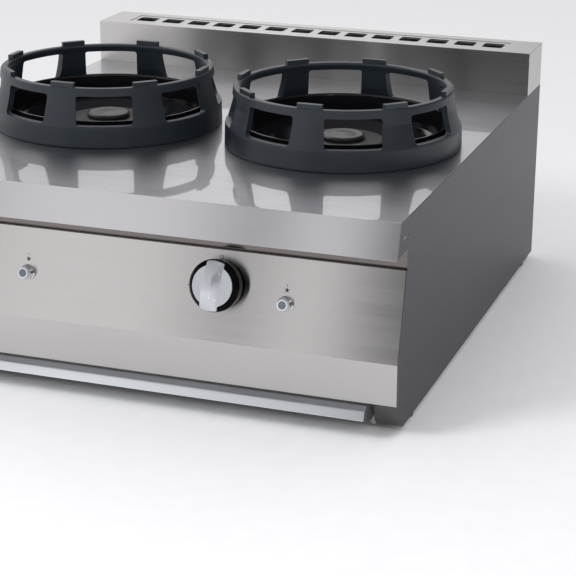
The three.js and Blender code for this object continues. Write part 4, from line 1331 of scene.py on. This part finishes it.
# %% Igniter buttons
BEZEL = [(8.2, 0.3), (11.7, 0.3), (11.7, 1.6), (10.6, 2.4), (9.3, 8.7), (8.9, 9.5), (8.2, 9.5)]
BUTTON = [
    (0, -11.9), (4, -11.9), (4, 4.6), (7.9, 4.6), (7.9, 16.2), (7.2, 17), (6.3, 17), (5.9, 16.1), (0, 16.1),
]
DISC = [
    (0, 15.6), (5.8, 15.6), (5.8, 16.3), (5.4, 16.5), (4.2, 16.42), (4.0, 16.5), (2.6, 16.42), (2.4, 16.5),
    (0, 16.45),
]
IGNITER_STEPS = 64

for side in SIDES:
    place = on_panel(IGNITER_PLACE[0] + control_shift(side), IGNITER_PLACE[1])
    bezel = turned_piece(f"igniter_ring_{side}", soften(BEZEL, 0.5, 3), IGNITER_STEPS, place, chrome_bright)
    mount(bezel, "casing", "chrome", f"igniter_bezel_{side}")
    cup = turned_piece("cup", soften(BUTTON, 0.45, 3), IGNITER_STEPS, place, button_pale)
    disc = turned_piece("disc", soften(DISC, 0.12, 1), IGNITER_STEPS, place, button_blue)
    button = smooth_shading(join_pieces(f"push_button_{side}", [cup, disc]))
    mount(button, f"button_{side}", "button_grey", f"igniter_button_{side}")
    print(button.name, "faces:", len(button.data.polygons))

# %% [markdown]
# ## Print on the panel
#
# The marks are a fine dark ink: a small open circle for the closed position over each knob, a short tick
# beside it, and a plain spark over each button. They are thin plates that stand hardly proud of the sheet.

# %% Panel marks
INK_PROUD = 0.06
INK_ROOT = -0.05
CIRCLE_STEPS = 32
DOT_CORNERS = 6
CLOSED_MARK = {"across": -0.2, "down": -38.8, "radius": 2.5, "line": 0.42}
TICK_MARK = {"across": -48, "down": 6.0, "half_length": 1.3, "half_width": 0.45}
SPARK_MARK = {"across": 0.4, "down": -20, "points": 5, "outer": 4.6, "inner": 1.6, "dot": 0.9, "dot_up": 6.8}


def ink_plate(work, outline, place):
    tops = [work.verts.new(place @ Vector((x * MM, y * MM, INK_PROUD * MM))) for x, y in outline]
    roots = [work.verts.new(place @ Vector((x * MM, y * MM, INK_ROOT * MM))) for x, y in outline]
    work.faces.new(tops)
    work.faces.new(roots[::-1])
    for index in range(len(outline)):
        after = (index + 1) % len(outline)
        work.faces.new((tops[index], roots[index], roots[after], tops[after]))


def ink_circle(work, radius, line, place):
    """An open circle, as a ring of small plates side by side."""
    for step in range(CIRCLE_STEPS):
        angles = (2 * math.pi * step / CIRCLE_STEPS, 2 * math.pi * (step + 1) / CIRCLE_STEPS)
        inner, outer = radius - line, radius + line
        ink_plate(work, [(inner * math.cos(angles[0]), inner * math.sin(angles[0])),
                         (outer * math.cos(angles[0]), outer * math.sin(angles[0])),
                         (outer * math.cos(angles[1]), outer * math.sin(angles[1])),
                         (inner * math.cos(angles[1]), inner * math.sin(angles[1]))], place)


def star_outline(points, outer, inner):
    return [((outer if i % 2 == 0 else inner) * math.sin(math.pi * i / points),
             (outer if i % 2 == 0 else inner) * math.cos(math.pi * i / points)) for i in range(2 * points)]


def print_marks(side):
    work = bmesh.new()
    knob_x = KNOB_PLACE[0] + control_shift(side)
    circle = on_panel(knob_x + CLOSED_MARK["across"], KNOB_PLACE[1] + CLOSED_MARK["down"])
    ink_circle(work, CLOSED_MARK["radius"], CLOSED_MARK["line"], circle)
    tick = on_panel(knob_x + TICK_MARK["across"], KNOB_PLACE[1] + TICK_MARK["down"])
    x, y = TICK_MARK["half_length"], TICK_MARK["half_width"]
    ink_plate(work, [(-x, -y), (x, -y), (x, y), (-x, y)], tick)
    igniter_x = IGNITER_PLACE[0] + control_shift(side)
    star = on_panel(igniter_x + SPARK_MARK["across"], IGNITER_PLACE[1] + SPARK_MARK["down"])
    ink_plate(work, star_outline(SPARK_MARK["points"], SPARK_MARK["outer"], SPARK_MARK["inner"]), star)
    dot = star @ Matrix.Translation((0, SPARK_MARK["dot_up"] * MM, 0))
    ink_plate(work, star_outline(DOT_CORNERS, SPARK_MARK["dot"], SPARK_MARK["dot"]), dot)
    bmesh.ops.recalc_face_normals(work, faces=work.faces)
    mesh = bpy.data.meshes.new(f"panel_marks_{side}")
    work.to_mesh(mesh)
    work.free()
    return mount(link_piece(f"panel_marks_{side}", mesh, panel_ink), "casing", "knob_black")


for side in SIDES:
    print("marks:", len(print_marks(side).data.polygons), "faces")

# %% [markdown]
# ## Tray, its front and the handle
#
# The tray slides out below the panel by a drawn aluminium handle that runs along the whole front. The
# extrusion keeps its packed section; only its edges get the small radii of a drawing die. Dark caps close
# its ends, and a round glide under each end of the front carries it over the counter's edge.

# %% Tray and handle
handle = finished_sheet(
    "tray_handle", "handle_extrusion", handle_aluminium, "tray", "aluminium", 0.7, segments=4)
finished_sheet("drip_tray", "tray_pan", mill_steel, "tray", "plain_steel")
finished_sheet("tray_front", "tray_face", panel_steel, "tray", "brushed_steel")
for side in SIDES:
    finished_sheet(f"handle_cap_{side}", f"handle_end_{side}", cap_plastic, "tray", "dark_plastic", 0.35)
    finished_sheet(f"tray_runner_{side}", f"runner_{side}", mill_steel, "casing", "plain_steel", 0.4)
print("handle faces:", len(handle.data.polygons))

# %% [markdown]
# ## Flue
#
# Burnt gas leaves through a box along the back with a grille in its top. The grille is a plate with one row
# of equal slots, so it is grown as well: the plate's outline and the slots' outlines are curves, one fill
# turns them into a plate with holes, and one extrusion gives it its thickness.

# %% Flue grille
GRILLE = {"Length": 699.4 * MM, "Depth": 53.4 * MM, "Thickness": 3 * MM, "Slots": 14, "Slot share": 0.72,
          "Border": 9 * MM, "Corner": 6 * MM}


def slotted_plate():
    tree, given = growing_tree("slotted_plate", GRILLE)
    plate = add_node(tree, "GeometryNodeCurvePrimitiveQuadrilateral", {
        "Width": given["Length"], "Height": given["Depth"]}, mode="RECTANGLE").outputs[0]
    pitch = calculate(tree, "DIVIDE", given["Length"], given["Slots"])
    slot = add_node(tree, "GeometryNodeCurvePrimitiveQuadrilateral", {
        "Width": calculate(tree, "MULTIPLY", pitch, given["Slot share"]),
        "Height": calculate(tree, "MULTIPLY_ADD", given["Border"], -2.0, given["Depth"])}, mode="RECTANGLE")
    rounded = add_node(tree, "GeometryNodeFilletCurve", {
        "Curve": slot.outputs[0], "Radius": given["Corner"], "Count": 6}, mode="POLY").outputs[0]
    first = calculate(tree, "MULTIPLY_ADD", given["Length"], -0.5, calculate(tree, "MULTIPLY", pitch, 0.5))
    row = add_node(tree, "GeometryNodeMeshLine", {
        "Count": given["Slots"],
        "Start Location": add_node(tree, "ShaderNodeCombineXYZ", {"X": first}).outputs[0],
        "Offset": add_node(tree, "ShaderNodeCombineXYZ", {"X": pitch}).outputs[0]}, mode="OFFSET").outputs[0]
    slots = add_node(tree, "GeometryNodeInstanceOnPoints", {"Points": row, "Instance": rounded}).outputs[0]
    real = add_node(tree, "GeometryNodeRealizeInstances", {"Geometry": slots}).outputs[0]
    outlines = add_node(tree, "GeometryNodeJoinGeometry")
    tree.links.new(plate, outlines.inputs[0])
    tree.links.new(real, outlines.inputs[0])
    return finish_tree(tree, given, prism_of(tree, outlines.outputs[0], given["Thickness"]))


def make_grille():
    low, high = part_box("flue_grille")
    piece = grow("vent_grille", slotted_plate(), bpy.data.meshes.new("start"), GRILLE, flue_steel)
    middle = (low + high) / 2
    piece.data.transform(Matrix.Translation((middle.x, middle.y, low.z)))
    round_edges(piece, 0.4 * MM, 2, least_angle=50)
    return mount(piece, "casing", "brushed_steel", "flue_grille")


flue_casing = finished_sheet("flue_box", "flue_casing", flue_steel, "casing", "brushed_steel", 1.0)
print("grille faces:", len(make_grille().data.polygons), "flue box faces:", len(flue_casing.data.polygons))

# %% [markdown]
# ## Feet, gas line and valves
#
# The feet are turned rubber. Pipes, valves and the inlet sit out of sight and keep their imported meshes, with
# a finish in their material slots; the inlet at the back gets its thread as a turned profile.

# %% Feet and gas inlet
FOOT_PROFILE = [(0, 0), (16, 0), (18, 2), (18, 9.7), (0, 9.7)]
INLET_LENGTH = 29.8
THREAD_PITCH = 2.3
THREAD_START = 10.0
INLET_STEPS = 48
FOOT_STEPS = 40


def inlet_profile():
    points = [(0, 0), (14, 0), (14, THREAD_START - 1.5), (12.6, THREAD_START)]
    at = THREAD_START
    while at + THREAD_PITCH < INLET_LENGTH - 0.8:
        points += [(13.9, at + THREAD_PITCH * 0.5), (12.7, at + THREAD_PITCH)]
        at += THREAD_PITCH
    return points + [(13, INLET_LENGTH - 0.6), (12.4, INLET_LENGTH), (9, INLET_LENGTH), (9, 12), (0, 12)]


for side in SIDES:
    for end in ("front", "rear"):
        middle = middle_of(f"foot_{end}_{side}")
        foot = turned_piece(f"rubber_foot_{end}_{side}", soften(FOOT_PROFILE, 0.9, 3), FOOT_STEPS,
                            Matrix.Translation((middle.x, middle.y, 0)), foot_rubber)
        mount(foot, "casing", "rubber", f"foot_{end}_{side}")
inlet_middle = middle_of("gas_inlet")
inlet_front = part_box("gas_inlet")[0].y
inlet_place = Matrix.Translation((inlet_middle.x, inlet_front, inlet_middle.z))
lying = Matrix.Rotation(-math.pi / 2, 4, "X")
inlet = turned_piece("inlet_fitting", inlet_profile(), INLET_STEPS, inlet_place @ lying, brass_turned)
mount(inlet, "casing", "brass", "gas_inlet")
print("inlet faces:", len(inlet.data.polygons))

# %% [markdown]
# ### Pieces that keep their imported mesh
#
# Only their material slot is filled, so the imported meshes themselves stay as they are.

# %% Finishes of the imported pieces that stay
STAYING = {
    "push_washer": mill_steel, "valve_stem": brass_turned, "gas_valve": brass_turned,
    "piezo_igniter": piezo_plastic, "feed_pipe": mill_steel,
}


def dress(node, material):
    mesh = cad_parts[node].data
    mesh.materials.clear()
    mesh.materials.append(material)


for kind, material in STAYING.items():
    for side in SIDES:
        dress(f"{kind}_{side}", material)
dress("gas_manifold", mill_steel)
dress("supply_pipe", mill_steel)
print("packed pieces that stay:", 2 * len(STAYING) + 2)

# %% [markdown]
# ## Screws
#
# A cross-head screw holds each end tab of the worktop. One screw head is built inside a tree, a low dome with
# a cross cut into it, and set on every point of a small cloud of places. Each point carries the way it faces
# and gets a seeded random turn, because no fitter leaves all the crosses upright.

# %% Screw tree
SCREW = {
    "Head radius": 3.0 * MM, "Dome height": 0.9 * MM, "Slot width": 0.9 * MM, "Slot depth": 0.8 * MM,
    "Seed": 7,
}
SCREW_SINK = 1.05  # how far the foot of the head lies inside the end tab


def screw_head(tree, given):
    ball = add_node(tree, "GeometryNodeMeshUVSphere", {
        "Segments": 24, "Rings": 12, "Radius": given["Head radius"]}).outputs[0]
    flatten = add_node(tree, "ShaderNodeCombineXYZ", {
        "X": 1.0, "Y": 1.0, "Z": calculate(tree, "DIVIDE", given["Dome height"], given["Head radius"])})
    dome = add_node(tree, "GeometryNodeTransform", {"Geometry": ball, "Scale": flatten.outputs[0]}).outputs[0]
    arm = calculate(tree, "MULTIPLY", given["Head radius"], 1.15)
    lift = add_node(tree, "ShaderNodeCombineXYZ", {"Z": given["Dome height"]}).outputs[0]
    head = add_node(tree, "GeometryNodeMeshBoolean", {"Mesh 1": dome}, operation="DIFFERENCE", solver="EXACT")
    for x, y in ((arm, given["Slot width"]), (given["Slot width"], arm)):
        size = add_node(tree, "ShaderNodeCombineXYZ", {"X": x, "Y": y, "Z": given["Slot depth"]}).outputs[0]
        bar = add_node(tree, "GeometryNodeMeshCube", {"Size": size}).outputs[0]
        lifted = add_node(tree, "GeometryNodeTransform", {"Geometry": bar, "Translation": lift}).outputs[0]
        tree.links.new(lifted, head.inputs["Mesh 2"])
    return head.outputs["Mesh"]


def screws_on_points():
    tree, given = growing_tree("screws_on_points", SCREW)
    facing = add_node(tree, "GeometryNodeInputNamedAttribute", {"Name": "facing"}, data_type="FLOAT_VECTOR")
    aligned = add_node(
        tree, "FunctionNodeAlignRotationToVector", {"Vector": facing.outputs["Attribute"]}, axis="Z")
    chance = add_node(tree, "FunctionNodeRandomValue", {"Max": 1.5, "Seed": given["Seed"]}, data_type="FLOAT")
    spin = add_node(tree, "ShaderNodeCombineXYZ", {"Z": chance.outputs[1]}).outputs[0]
    turned = add_node(tree, "FunctionNodeRotateRotation", {
        "Rotation": aligned.outputs[0], "Rotate By": spin}, rotation_space="LOCAL").outputs[0]
    screws = add_node(tree, "GeometryNodeInstanceOnPoints", {
        "Points": given["Start"], "Instance": screw_head(tree, given), "Rotation": turned}).outputs[0]
    return finish_tree(tree, given, screws)


def set_screws(name, places, ways_out):
    mesh = bpy.data.meshes.new(name)
    mesh.from_pydata([Vector(p) * MM for p in places], [], [])
    ways = mesh.attributes.new("facing", "FLOAT_VECTOR", "POINT")
    for index, way_out in enumerate(ways_out):
        ways.data[index].vector = way_out
    piece = grow(name, screw_tree, mesh, SCREW, screw_zinc)
    smooth_shading(piece)
    return mount(piece, "casing", "plain_steel")


screw_tree = screws_on_points()
print("nodes in the screw tree:", len(screw_tree.nodes))

# %% [markdown]
# ### Two screws
#
# The seats were cut with the worktop. The heads stay inside them, within the width of the range.

# %% Screws in the seats of both end tabs
screw_places = [(sign * (HALF_WIDTH - SCREW_SINK), *TAB_SCREW_AT) for sign in (-1, 1)]
tab_screws = set_screws("tab_screws", screw_places, [(-1, 0, 0), (1, 0, 0)])
print("screws:", len(tab_screws.data.polygons), "faces")
